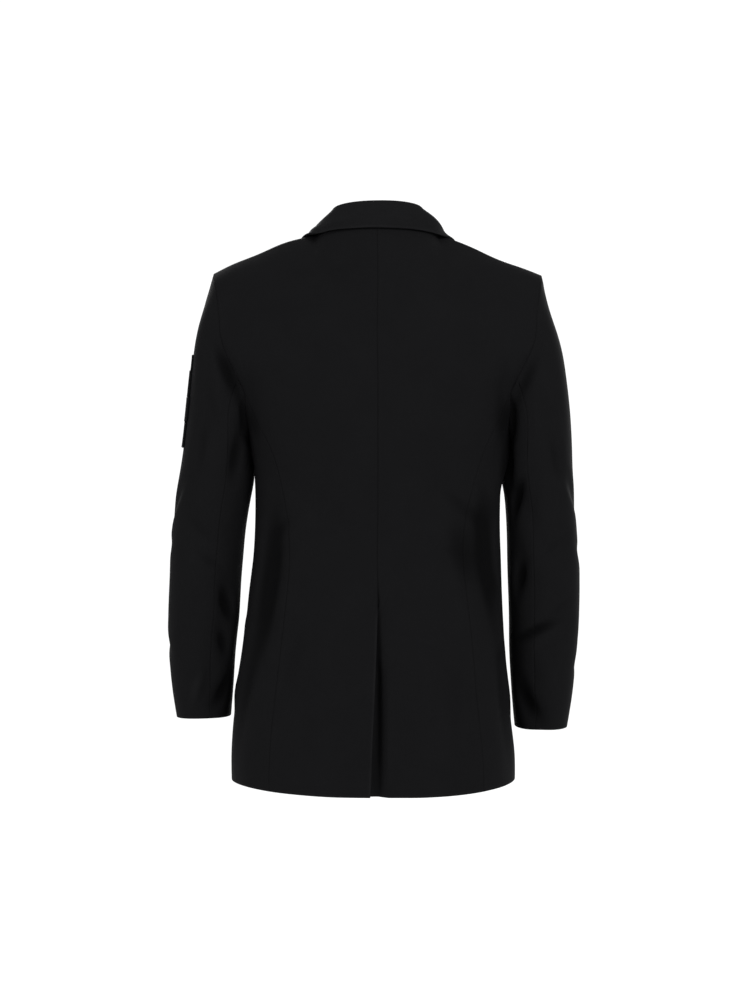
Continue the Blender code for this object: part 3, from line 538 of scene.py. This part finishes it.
# each row has the values that follow a Crease's face
CREASES = {
    Face.BACK: (
        # beside the armholes, where the cloth hangs from the shoulder blades
        (0.16, -0.215, -8, 0.15, 0.036, 0.0016, 0.004),
        (-0.156, -0.215, 8, 0.15, 0.034, 0.002, -0.004),
        (0.128, -0.15, -36, 0.13, 0.046, 0.0014),
        (-0.122, -0.165, 40, 0.12, 0.046, 0.0012),
        # drawn in at the waist
        (0.137, -0.465, -5, 0.23, 0.052, 0.0085, 0.005),
        (-0.139, -0.43, 7, 0.2, 0.048, 0.009, -0.005),
        (0.108, -0.56, -10, 0.15, 0.044, 0.0022),
        (0.112, -0.385, -60, 0.095, 0.026, 0.002),
        (-0.11, -0.366, 58, 0.105, 0.03, 0.0026),
        (-0.113, -0.428, 14, 0.13, 0.072, 0.0056),
        (0.07, -0.404, -76, 0.09, 0.026, 0.0012),
        (-0.064, -0.414, 74, 0.1, 0.024, 0.0012),
        # down the skirt
        (0.085, -0.64, 4, 0.17, 0.056, 0.0018),
        (-0.098, -0.615, -3, 0.2, 0.058, 0.002),
        (0.04, -0.59, 8, 0.12, 0.034, 0.001),
        (-0.052, -0.64, -6, 0.11, 0.032, 0.0009),
        # the under layer of the vent, drawn in beside the upper layer's edge
        (0.0004, -0.58, 1, 0.2, 0.012, 0.0046, 0.0, "back_right"),
        (0.001, -0.685, -4, 0.19, 0.022, 0.0034, 0.0, "back_right"),
        # below the collar
        (0.048, -0.062, -78, 0.075, 0.018, 0.0018),
        (-0.054, -0.068, 75, 0.065, 0.018, 0.0016),
        # wearer's left sleeve
        (0.196, -0.493, 34, 0.066, 0.028, 0.0085, 0.004),
        (0.203, -0.546, 22, 0.054, 0.022, 0.0068),
        (0.205, -0.608, -30, 0.062, 0.028, 0.0072, -0.003),
        (0.237, -0.604, -16, 0.06, 0.022, -0.0036),
        (0.23, -0.395, 48, 0.08, 0.026, 0.0026),
        (0.215, -0.44, 56, 0.066, 0.024, 0.003),
        (0.1925, -0.196, 23, 0.095, 0.027, 0.0072),
        (0.174, -0.25, 24, 0.07, 0.018, 0.004),
        (0.183, -0.3, -10, 0.09, 0.026, 0.006),
        (0.227, -0.285, -12, 0.1, 0.028, 0.0032),
        # wearer's right sleeve
        (-0.183, -0.357, -38, 0.064, 0.022, 0.008, 0.003),
        (-0.185, -0.459, -24, 0.058, 0.026, 0.0078),
        (-0.205, -0.536, -62, 0.09, 0.024, 0.0068, 0.006),
        (-0.196, -0.624, 28, 0.068, 0.03, 0.007),
        (-0.235, -0.5, -52, 0.056, 0.022, 0.0022),
        (-0.19, -0.205, -24, 0.09, 0.022, 0.0044),
        (-0.174, -0.255, -22, 0.075, 0.022, 0.0058),
        (-0.171, -0.303, -6, 0.085, 0.032, 0.0098),
        (-0.228, -0.42, -46, 0.066, 0.022, 0.0022),
        (-0.23, -0.3, 12, 0.09, 0.026, 0.003),
    ),
    Face.FRONT: (
        # inside of the elbows, in front
        (0.218, -0.378, -62, 0.086, 0.026, 0.0078, 0.004),
        (0.226, -0.42, -70, 0.08, 0.024, 0.0084, 0.003),
        (0.232, -0.462, -58, 0.07, 0.024, 0.0062),
        (0.22, -0.325, -48, 0.076, 0.026, 0.0046),
        (0.238, -0.56, -40, 0.06, 0.022, 0.004),
        (-0.215, -0.385, 60, 0.086, 0.026, 0.0078, -0.004),
        (-0.22, -0.43, 70, 0.082, 0.024, 0.0084, -0.003),
        (-0.223, -0.476, 55, 0.066, 0.024, 0.0058),
        (-0.212, -0.33, 46, 0.076, 0.026, 0.0044),
        (-0.218, -0.585, 44, 0.06, 0.022, 0.004),
        # drawn to the fastened button
        (0.06, -0.398, -64, 0.12, 0.028, 0.0052, 0.003),
        (-0.062, -0.396, 62, 0.12, 0.028, 0.005, -0.003),
        (0.066, -0.432, -100, 0.11, 0.024, 0.004),
        (-0.068, -0.436, 102, 0.11, 0.024, 0.004),
        (0.115, -0.38, -30, 0.13, 0.038, 0.0048),
        (-0.116, -0.388, 28, 0.13, 0.038, 0.0048),
        # in front of the armholes
        (0.165, -0.215, 18, 0.15, 0.036, 0.0056, 0.005),
        (-0.165, -0.21, -18, 0.15, 0.036, 0.0054, -0.005),
        # down the skirt
        (0.1, -0.645, 5, 0.14, 0.044, 0.0034),
        (-0.105, -0.65, -6, 0.14, 0.044, 0.0034),
    ),
    Face.LEFT: (
        # outside of the sleeve, then the skirt's side
        (-0.03, -0.43, 66, 0.08, 0.026, 0.0044),
        (0.012, -0.36, 40, 0.086, 0.03, 0.0034),
        (-0.02, -0.54, -50, 0.066, 0.026, 0.0034),
        (0.055, -0.6, 3, 0.19, 0.046, 0.0042),
    ),
    Face.RIGHT: (
        (-0.026, -0.44, 62, 0.08, 0.026, 0.0044),
        (0.016, -0.35, 44, 0.086, 0.03, 0.0034),
        (-0.03, -0.56, -46, 0.066, 0.026, 0.0034),
        (0.05, -0.61, -3, 0.19, 0.046, 0.0042),
    ),
}
FULLNESS = (
    # under the arms, where sleeve and body lie against each other
    Fullness(("under_sleeve_left",), (0.169, 0, -0.29), (-0.0026, 0, 0), (0.02, 0.05, 0.016)),
    Fullness(("side_left",), (0.166, 0, -0.29), (0.0014, 0, 0), (0.02, 0.05, 0.016)),
    Fullness(("under_sleeve_right",), (-0.169, 0, -0.29), (0.0026, 0, 0), (0.02, 0.05, 0.016)),
    Fullness(("side_right",), (-0.166, 0, -0.29), (-0.0014, 0, 0), (0.02, 0.05, 0.016)),
    # ends of the collar's leaf, let down onto the shoulders
    Fullness(("collar",), (0.09, 0.025, -0.008), (0, 0, -0.002), (0.014, 0.03, 0.014)),
    Fullness(("collar",), (-0.09, 0.025, -0.008), (0, 0, -0.002), (0.014, 0.03, 0.014)),
    # padded shoulders, just inside the sleeve heads
    Fullness((), (0.19, 0.0, -0.05), (0, 0, 0.0018), (0.03, 0.04, 0.03)),
    Fullness((), (-0.19, 0.0, -0.052), (0, 0, 0.0018), (0.03, 0.04, 0.03)),
)


# ---- Cloth shells ----

MERGE = 0.00001              # corners nearer than this are one
SQUARE_UP = 1.6              # how strongly neighbouring quads are kept in rows
RIM_TURN = math.radians(42)  # edges sharper than this are the cloth's cut edges
FOLDED_RIM_TURN = math.radians(74)   # the same, on a folded piece
SEWN = 0.0008                # edges nearer than this are drawn together
EDGE_ROUND = 0.0003          # cut edges and seam edges are rounded by this much
THROUGH = 0.0036             # a cut edge shorter than this runs through the cloth
SEAMED = 0.0025              # a stretch of edge this near to a neighbour's is sewn to it
MARK_WIDTH = 0.0035          # a pressed edge or a seam shows this far in
MARK_STEP = 0.002
CREASED = 0.6                # share of a rim's turn past which an edge stays sharp


def show(name: str, data: bpy.types.ID) -> bpy.types.Object:
    """Add an object to the scene.

    Args:
        name: Its name.
        data: Its mesh, lamp or camera.

    Returns:
        The object.
    """
    made = bpy.data.objects.new(name, data)
    bpy.context.scene.collection.objects.link(made)
    return made


def skin_of(mesh: bpy.types.Mesh) -> BVHTree:
    """A mesh's surface, for rays and nearest places."""
    return BVHTree.FromPolygons([vertex.co for vertex in mesh.vertices],
                                [list(face.vertices) for face in mesh.polygons])


def places_tree(places: list[Vector]) -> KDTree:
    """Sort places for finding the nearest ones.

    Args:
        places: The places.

    Returns:
        Their tree, numbered as in the list.
    """
    tree = KDTree(len(places))
    for index, place in enumerate(places):
        tree.insert(place, index)
    tree.balance()
    return tree


@dataclass(frozen=True)
class Border:
    """A stretch of a piece's cut edge, on its outer face.

    Attributes:
        start: One end.
        end: The other end.
        inward: The way into the piece, along its face.
        sewn: Whether it is sewn to a neighbour.
    """

    start: Vector
    end: Vector
    inward: Vector
    sewn: bool

    def at(self, share: float, inset: float = 0.0) -> Vector:
        """Place on the stretch, or beside it."""
        return self.start.lerp(self.end, share) + self.inward * inset

    def spaced(self, spacing: float) -> list[float]:
        """Shares of the stretch, evenly spaced along it."""
        count = max(1, round((self.end - self.start).length / spacing))
        return [(step + 0.5) / count for step in range(count)]


@dataclass
class ClothPiece:
    """One piece of cloth, grown from its solid.

    Attributes:
        node: The frame's node that it stands for.
        slot: The record's material slot.
        flat: Width and length of the piece as cut. Not used.
        area: Area as cut. Not used.
        rests_on: What it is sewn to or lies on. Not used.
        held: How it is held.
        rounds: Times that each cell is split in four.
        rim: Turn beyond which an edge is a cut edge.
        centre: X and Y of the upright line that its outer face looks away from.
    """

    node: str
    slot: str
    flat: tuple[float, float]
    area: float
    rests_on: tuple[str, ...]
    held: str = "hung"
    rounds: int = 3
    rim: float = RIM_TURN
    centre: tuple[float, float] = (0.0, 0.0)
    net: "bmesh.types.BMesh | None" = field(default=None, repr=False)
    borders: list[Border] = field(default_factory=list, repr=False)
    made: "bpy.types.Object | None" = field(default=None, repr=False)
    skin: "BVHTree | None" = field(default=None, repr=False)

    def cut(self) -> None:
        """Join the solid's facets into a net of quads."""
        self.net = bmesh.new()
        self.net.from_mesh(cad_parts[self.node].data)
        bmesh.ops.remove_doubles(self.net, verts=list(self.net.verts), dist=MERGE)
        bmesh.ops.join_triangles(self.net, faces=list(self.net.faces), topology_influence=SQUARE_UP,
                                 angle_face_threshold=math.pi, angle_shape_threshold=math.pi)

    def rim_edges(self) -> list[bmesh.types.BMEdge]:
        """The net's cut edges, along both faces of the cloth."""
        return [edge for edge in self.net.edges if abs(edge.calc_face_angle(0.0)) > self.rim]

    def rim_corners(self) -> list[bmesh.types.BMVert]:
        """The points on the net's cut edges."""
        return list(dict.fromkeys(vertex for edge in self.rim_edges()
                                  for vertex in edge.verts))

    def rim_stretches(self) -> list[bmesh.types.BMEdge]:
        """The cut edges that run along the cloth, not through it."""
        return [edge for edge in self.rim_edges() if edge.calc_length() > THROUGH]

    def note_borders(self, others: KDTree) -> None:
        """Keep the stretches of cut edge before they are rounded.

        Args:
            others: The middles of the other pieces' stretches.
        """
        for edge in self.rim_stretches():
            start, end = (vertex.co.copy() for vertex in edge.verts)
            face = max(edge.link_faces, key=lambda face: face.calc_area())
            middle = (start + end) / 2
            away = middle - Vector((*self.centre, middle.z))
            if face.normal.dot(away) < 0:
                continue
            along = (end - start).normalized()
            inward = face.calc_center_median() - middle
            inward = (inward - along * inward.dot(along)).normalized()
            near = others.find(middle)[2]
            self.borders.append(Border(start, end, inward, self.held != "laid" and near < SEAMED))

    def build(self, cloth: PressedCloth, finish: bpy.types.Material) -> bpy.types.Object:
        """Round and press the piece.

        Args:
            cloth: The creases.
            finish: Its material.

        Returns:
            The piece.
        """
        mesh = self._rounded(self._edged())
        points = np.empty(len(mesh.vertices) * 3)
        mesh.vertices.foreach_get("co", points)
        points = points.reshape(-1, 3)
        pressed, folds = cloth.press(points, self.node)
        for name, values in ((EDGE_MARK, self._marks(points)), (SHADE_AND_HIGHLIGHT_MARK, folds)):
            mesh.attributes.new(name, "FLOAT", "POINT").data.foreach_set("value", values)
        mesh.vertices.foreach_set("co", pressed.ravel())
        mesh.materials.clear()
        mesh.materials.append(finish)
        mesh.shade_smooth()
        self.made = show("cloth_" + self.node, mesh)
        self.skin = skin_of(mesh)
        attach(self.made, ROOT)
        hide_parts(self.node)
        LOG.info("%s: %d faces", self.made.name, len(mesh.polygons))
        return self.made

    def declare(self) -> None:
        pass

    def _marks(self, points: np.ndarray) -> np.ndarray:
        """Find how near each point is to a pressed edge or a seam.

        Args:
            points: Places, one to a row.

        Returns:
            1 on a pressed edge, -1 on a seam, nought away from both.
        """
        marks = np.zeros(len(points))
        for sewn, sign in ((False, 1.0), (True, -1.0)):
            places = [border.at(share) for border in self.borders if border.sewn is sewn
                      for share in border.spaced(MARK_STEP)]
            if not places:
                continue
            tree = places_tree(places)
            away = np.array([tree.find(point)[2] for point in points])
            marks += sign * np.exp(-(away / MARK_WIDTH) ** 2)
        return marks

    def _edged(self) -> bpy.types.Mesh:
        """Round the net's cut edges over and mark them.

        Returns:
            The net, ready to be split.
        """
        bmesh.ops.bevel(self.net, geom=self.rim_edges(), offset=EDGE_ROUND, segments=1,
                        profile=0.5, affect="EDGES", material=-1, clamp_overlap=True)
        crease = self.net.edges.layers.float.new("crease_edge")
        for edge in self.net.edges:
            if abs(edge.calc_face_angle(0.0)) > self.rim * CREASED:
                edge[crease] = 1.0
        mesh = bpy.data.meshes.new("cloth_" + self.node)
        self.net.to_mesh(mesh)
        self.net.free()
        return mesh

    def _rounded(self, net: bpy.types.Mesh) -> bpy.types.Mesh:
        """Split and round the net, so that the round surface passes through its points.

        Args:
            net: The net of quads.

        Returns:
            The rounded mesh.
        """
        places = np.empty(len(net.vertices) * 3)
        net.vertices.foreach_get("co", places)
        shrunk = np.empty(0)
        for rounds in (1, self.rounds):
            carrier = show("carrier", net)
            smoother = carrier.modifiers.new("Round", "SUBSURF")
            smoother.levels = smoother.render_levels = rounds
            shapes = bpy.context.evaluated_depsgraph_get()
            mesh = bpy.data.meshes.new_from_object(carrier.evaluated_get(shapes))
            bpy.data.objects.remove(carrier)
            if not shrunk.size:
                shrunk = np.empty(len(mesh.vertices) * 3)
                mesh.vertices.foreach_get("co", shrunk)
                net.vertices.foreach_set("co", 2 * places - shrunk[:places.size])
                net.update()
        return mesh


# ---- Sewing ----

class Stitch(Enum):
    """A kind of stitch: its length, its thread's thickness, its spacing and its inset."""

    PICK = (0.0014, 0.00042, 0.0058, 0.0022)     # hand stitches beside a tailored edge
    TOP = (0.0024, 0.00040, 0.0031, 0.0016)      # lockstitch on a patch
    BUTTONHOLE = (0.0021, 0.00040, 0.00048, 0.0)

    def __init__(self, *sizes: float) -> None:
        """Name the values."""
        self.length, self.thickness, self.spacing, self.inset = sizes


class Sewing:
    """Stitches of one place on the garment, made as one piece."""

    SUNK = 0.15              # share of its thickness by which a stitch lies below the cloth
    ROUND = 6                # sides of a stitch
    TAPER = 4                # rings of a stitch

    def __init__(self, name: str, finish: bpy.types.Material) -> None:
        """Start with no stitches.

        Args:
            name: The piece's name.
            finish: The thread's material.
        """
        self.name = name
        self.finish = finish
        self.model = bmesh.new()
        self.count = 0

    def lay(self, place: Vector, normal: Vector, along: Vector, length: float,
            thickness: float) -> None:
        """Lay one stitch.

        Args:
            place: Its middle, on the cloth.
            normal: The way out of the cloth.
            along: The way the stitch runs.
            length: Its length.
            thickness: The thread's thickness.
        """
        along = (along - normal * along.dot(normal)).normalized()
        beside = normal.cross(along)
        turn = Matrix((along, beside, normal)).transposed().to_4x4()
        lift = normal * thickness * (0.5 - self.SUNK)
        sizes = Matrix.Diagonal((length / 2, thickness / 2, thickness / 2, 1.0))
        bmesh.ops.create_uvsphere(self.model, u_segments=self.ROUND, v_segments=self.TAPER,
                                  radius=1.0, matrix=Matrix.Translation(place + lift) @ turn
                                  @ sizes @ Matrix.Rotation(math.pi / 2, 4, "Y"))
        self.count += 1

    def beside(self, piece: ClothPiece, cloth: PressedCloth, kind: Stitch,
               where: Callable[[Vector], bool]) -> None:
        """Run stitches beside a piece's cut edge.

        Args:
            piece: The piece of cloth.
            cloth: The creases that pressed it.
            kind: The stitch.
            where: Says whether a place of the edge is stitched.
        """
        for border in piece.borders:
            if border.sewn or not where(border.at(0.5)):
                continue
            places = [border.at(share, kind.inset) for share in border.spaced(kind.spacing)]
            for place in cloth.press(np.array(places), piece.node)[0]:
                spot, normal, _, _ = piece.skin.find_nearest(Vector(place))
                self.lay(spot, normal, border.end - border.start, kind.length, kind.thickness)

    def slit(self, skin: BVHTree, middle: Vector, along: Vector, length: float,
             width: float) -> None:
        """Work a buttonhole: stitches across its two lips and round its ends.

        Args:
            skin: The cloth's surface.
            middle: Its middle, near the cloth.
            along: The way it runs.
            length: Its length.
            width: Distance between the middles of its lips.
        """
        kind = Stitch.BUTTONHOLE
        centre, out, _, _ = skin.find_nearest(middle)
        along = (along - out * along.dot(out)).normalized()
        beside = out.cross(along)
        straight, bend = length - width, math.pi * width / 2
        count = round(2 * (straight + bend) / kind.spacing)
        for step in range(count):
            run = step / count * 2 * (straight + bend)
            end, run = (1, run) if run < straight + bend else (-1, run - straight - bend)
            if run < straight:
                away, across = (run - straight / 2) * along, -beside
            else:
                turn = (run - straight) / (width / 2)
                away = straight / 2 * along
                across = math.sin(turn) * along - math.cos(turn) * beside
            place = centre + end * (away + across * width / 2)
            spot, normal, _, _ = skin.find_nearest(place)
            self.lay(spot, normal, across, kind.length, kind.thickness)

    def finish_off(self) -> None:
        """Make the stitches a piece."""
        mesh = bpy.data.meshes.new(self.name)
        self.model.to_mesh(mesh)
        self.model.free()
        mesh.materials.append(self.finish)
        mesh.shade_smooth()
        made = show(self.name, mesh)
        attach(made, ROOT)
        LOG.info("%s: %d stitches", self.name, self.count)


# ---- Studio ----

@dataclass
class Studio:
    """Pale floor, soft lights and the camera behind the garment."""

    floor: float = -1.52             # the nape is this far above the floor
    floor_size: float = 60.0
    camera_place: Place = (0.0036, 2.5, -0.358)
    lens: float = 68.18
    sensor: float = 36.0
    sky: float = 1.08
    middle: Place = (0.0, 0.0, -0.35)    # the lamps are turned to here

    def build(self) -> None:
        """Set up the studio."""
        self._floor()
        self._sky()
        self._lamp("key", (-1.6, 2.5, 1.7), 1.3, 146.0)
        self._lamp("fill", (2.4, 1.5, 0.4), 1.6, 48.0)
        self._lamp("front_key", (0.9, -2.8, 1.5), 1.3, 140.0)
        self._lamp("front_fill", (-1.5, -2.5, 0.4), 1.6, 40.0)
        self._camera()
        bpy.context.scene.view_settings.view_transform = "Standard"

    def _floor(self) -> None:
        """Lay the floor."""
        model = bmesh.new()
        bmesh.ops.create_grid(model, x_segments=4, y_segments=4, size=self.floor_size / 2)
        bmesh.ops.translate(model, verts=list(model.verts), vec=(0, 0, self.floor))
        mesh = bpy.data.meshes.new("studio_floor")
        model.to_mesh(mesh)
        model.free()
        mesh.materials.append(StudioPaper("studio_paper").material())
        show("studio_floor", mesh)

    def _sky(self) -> None:
        """Surround the garment with even white light."""
        world = bpy.data.worlds.new("studio_light")
        world.use_nodes = True
        light = world.node_tree.nodes["Background"]
        light.inputs["Color"].default_value = (1.0, 1.0, 1.0, 1.0)
        light.inputs["Strength"].default_value = self.sky
        bpy.context.scene.world = world

    def _lamp(self, name: str, place: Place, size: float, power: float) -> None:
        """Hang one soft lamp, turned to the middle of the garment.

        Args:
            name: The lamp's name.
            place: Where it hangs.
            size: Edge of its square face.
            power: Its power in watts.
        """
        data = bpy.data.lights.new(name, "AREA")
        data.size = size
        data.energy = power
        lamp = show(name, data)
        lamp.location = place
        middle = Vector(self.middle)
        lamp.rotation_euler = (middle - Vector(place)).to_track_quat("-Z", "Y").to_euler()

    def _camera(self) -> None:
        """Stand the camera level, straight behind."""
        data = bpy.data.cameras.new("camera")
        data.lens = self.lens
        data.sensor_width = self.sensor
        camera = show("camera", data)
        camera.location = self.camera_place
        camera.rotation_euler = (math.pi / 2, 0.0, math.pi)
        bpy.context.scene.camera = camera


# ---- The whole garment ----

@dataclass
class Blazer:
    """All the cloth of the garment, its sewing and its buttons."""

    break_height: float = -0.405     # the front edge's stitches start here
    front_edge_to: float = 0.066     # X that the front edge reaches at the hem
    hem: float = -0.7300
    flap_top: float = -0.500
    hole_length: float = 0.022
    hole_width: float = 0.0021
    hole_across: float = 0.0065
    lapel_hole: Place = (0.1080, -0.12, -0.128)
    lapel_hole_way: Place = (0.82, 0.0, 0.40)
    button_holes: tuple[float, float] = (-0.408, -0.506)
    thread_ring: float = 0.0026      # radius that the buttons' holes stand on
    thread_over: float = 0.0012      # the thread goes this far past them
    leaf_back: float = 0.064         # Y beyond which the collar's edge is stitched,
    leaf_side: float = 0.080         # and X on its ends
    pieces: dict[str, ClothPiece] = field(default_factory=lambda: {piece.node: piece for piece in [
        ClothPiece("back_left", "cloth", (0.25, 0.76), 0.120, ("collar",)),
        ClothPiece("back_right", "cloth", (0.25, 0.76), 0.128, ("collar",)),
        ClothPiece("side_left", "cloth", (0.23, 0.53), 0.092, ("back_left", "front_left")),
        ClothPiece("side_right", "cloth", (0.22, 0.53), 0.088, ("back_right", "front_right")),
        ClothPiece("front_left", "cloth", (0.25, 0.75), 0.112, ("back_left",)),
        ClothPiece("front_right", "cloth", (0.25, 0.75), 0.110, ("back_right",)),
        ClothPiece("upper_sleeve_left", "cloth", (0.24, 0.62), 0.112, ("back_left",),
                   centre=(0.22, 0.0)),
        ClothPiece("upper_sleeve_right", "cloth", (0.24, 0.63), 0.114, ("back_right",),
                   centre=(-0.22, 0.0)),
        ClothPiece("under_sleeve_left", "cloth", (0.16, 0.50), 0.056, ("side_left",),
                   rounds=2, centre=(0.22, 0.0)),
        ClothPiece("under_sleeve_right", "cloth", (0.16, 0.51), 0.057, ("side_right",),
                   rounds=2, centre=(-0.22, 0.0)),
        ClothPiece("collar", "collar_cloth", (0.46, 0.085), 0.032, ("back_left", "back_right"),
                   "folded", rim=FOLDED_RIM_TURN),
        ClothPiece("lapel_left", "collar_cloth", (0.10, 0.34), 0.0130, ("front_left",), "laid"),
        ClothPiece("lapel_right", "collar_cloth", (0.10, 0.34), 0.0130, ("front_right",), "laid"),
        ClothPiece("pocket_flap_left", "cloth", (0.14, 0.055), 0.0075, ("front_left",), "laid"),
        ClothPiece("pocket_flap_right", "cloth", (0.14, 0.055), 0.0073, ("front_right",), "laid"),
        *(ClothPiece(f"arm_patch_{number}", "patch_cloth", (0.036, height), area,
                     ("upper_sleeve_left",), "laid", 2, centre=(0.20, 0.0))
          for number, height, area in ((1, 0.022, 0.00075), (2, 0.036, 0.00125),
                                       (3, 0.033, 0.00115), (4, 0.036, 0.00120))),
    ]})

    def build(self) -> None:
        """Make every piece of cloth, its sewing and the buttons."""
        creases = [Crease(face, *row) for face, rows in CREASES.items() for row in rows]
        cloth = PressedCloth(creases, FULLNESS, self._solids())
        finishes = {"cloth": Suiting("black_suiting").material(),
                    # the collar and lapel cloth is the suiting with a lighter tone: a painted
                    # highlight
                    "collar_cloth": Suiting("black_collar_suiting_painted_highlight", light=(0.0050, 0.0050, 0.0053),
                                            sheen=0.006).material(),
                    "patch_cloth": Suiting("black_patch_cloth", pitch=0.0014,
                                           light=(0.0046, 0.0046, 0.0049)).material()}
        for piece in self.pieces.values():
            piece.cut()
        self._sew_up()
        for piece in self.pieces.values():
            piece.build(cloth, finishes[piece.slot])
        for piece in self.pieces.values():
            piece.declare()
        self._stitch(cloth)
        self._buttons()

    def _stitch(self, cloth: PressedCloth) -> None:
        """Lay all the stitches that show.

        Args:
            cloth: The creases.
        """
        thread = SewingThread("black_thread").material()
        runs = []
        for word, side in (("left", 1.0), ("right", -1.0)):
            runs += [
                ("front_" + word, ["front_" + word], Stitch.PICK,
                 lambda place, side=side: place.x * side < self.front_edge_to
                 and self.hem < place.z < self.break_height),
                ("lapel_" + word, ["lapel_" + word], Stitch.PICK,
                 lambda place, side=side: not self._on_roll(place, side)),
                ("flap_" + word, ["pocket_flap_" + word], Stitch.PICK,
                 lambda place: place.z < self.flap_top)]
        runs += [
            ("collar", ["collar"], Stitch.PICK,
             lambda place: place.y > self.leaf_back or abs(place.x) > self.leaf_side),
            ("patches", [f"arm_patch_{number}" for number in range(1, 5)], Stitch.TOP,
             lambda place: True)]
        for name, nodes, kind, where in runs:
            sewing = Sewing("thread_" + name, thread)
            for node in nodes:
                sewing.beside(self.pieces[node], cloth, kind, where)
            sewing.finish_off()
        holes = Sewing("thread_buttonholes", thread)
        for height in self.button_holes:
            holes.slit(self.pieces["front_left"].skin, Vector((self.hole_across, -0.14, height)),
                       Vector((1, 0, 0)), self.hole_length, self.hole_width)
        holes.slit(self.pieces["lapel_left"].skin, Vector(self.lapel_hole),
                   Vector(self.lapel_hole_way), self.hole_length, self.hole_width)
        holes.finish_off()

    @staticmethod
    def _on_roll(place: Vector, side: float) -> bool:
        """Whether a place of a lapel's edge is on its roll line."""
        return place.x * side < 0.0715 - 0.118 * max(0.0, -place.z - 0.075) ** 0.86

    def _buttons(self) -> None:
        """Dress the buttons and sew them on."""
        plastic = ButtonPlastic("button_polyester").material()
        thread = Sewing("thread_buttons", SewingThread("button_thread").material())
        for name in ("button_top", "button_low"):
            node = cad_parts[name]
            node.data.materials.clear()
            node.data.materials.append(plastic)
            middle, out = self._seat(node)
            across = Vector((0, 0, 1)).cross(out).normalized()
            up = out.cross(across)
            reach = self.thread_ring * math.sqrt(0.5)
            length = 2 * reach + self.thread_over
            for sign in (-1, 1):
                thread.lay(middle + across * reach * sign, out, up, length, 0.0009)
                thread.lay(middle + up * reach * sign + out * 0.0002, out, across, length, 0.0008)
        thread.finish_off()

    @staticmethod
    def _seat(node: bpy.types.Object) -> tuple[Vector, Vector]:
        """Find the middle of a button's face.

        Args:
            node: The button.

        Returns:
            The place where the thread lies, and the way the button faces.
        """
        points = np.array([vertex.co[:] for vertex in node.data.vertices])
        middle = points.mean(axis=0)
        _, _, ways = np.linalg.svd(points - middle, full_matrices=False)
        out = Vector(ways[2])
        if out.y > 0:
            out = -out
        place, _, _, _ = skin_of(node.data).ray_cast(Vector(middle) + out * 0.02, -out)
        return place, out

    def _sew_up(self) -> None:
        """Draw the edges of neighbouring pieces together along their seams."""
        corners = [(piece.node, vertex) for piece in self.pieces.values()
                   for vertex in piece.rim_corners()]
        tree = places_tree([vertex.co for _, vertex in corners])
        drawn = []
        for node, vertex in corners:
            beside = [place for place, index, _ in tree.find_range(vertex.co, SEWN)
                      if corners[index][0] != node and not node.startswith("arm_patch")]
            if beside:
                drawn.append((vertex, sum(beside, vertex.co.copy()) / (len(beside) + 1)))
        for vertex, place in drawn:
            vertex.co = place
        middles = {piece.node: [(edge.verts[0].co + edge.verts[1].co) / 2
                                for edge in piece.rim_stretches()]
                   for piece in self.pieces.values()}
        for piece in self.pieces.values():
            piece.note_borders(places_tree([middle for node, places in middles.items()
                                            if node != piece.node for middle in places]))
        LOG.info("sewn at %d points", len(drawn))

    @staticmethod
    def _solids() -> BVHTree:
        """Join the frame's nodes into one surface.

        Returns:
            The surface, for casting rays.
        """
        points, faces = [], []
        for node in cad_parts.values():
            start = len(points)
            points += [vertex.co.copy() for vertex in node.data.vertices]
            faces += [[start + index for index in polygon.vertices]
                      for polygon in node.data.polygons]
        return BVHTree.FromPolygons(points, faces)


def main() -> None:
    """Build the garment and the studio."""
    logging.basicConfig(level=logging.INFO, format="%(name)s: %(message)s")
    Blazer().build()
    Studio().build()


if __name__ == "__main__":
    main()
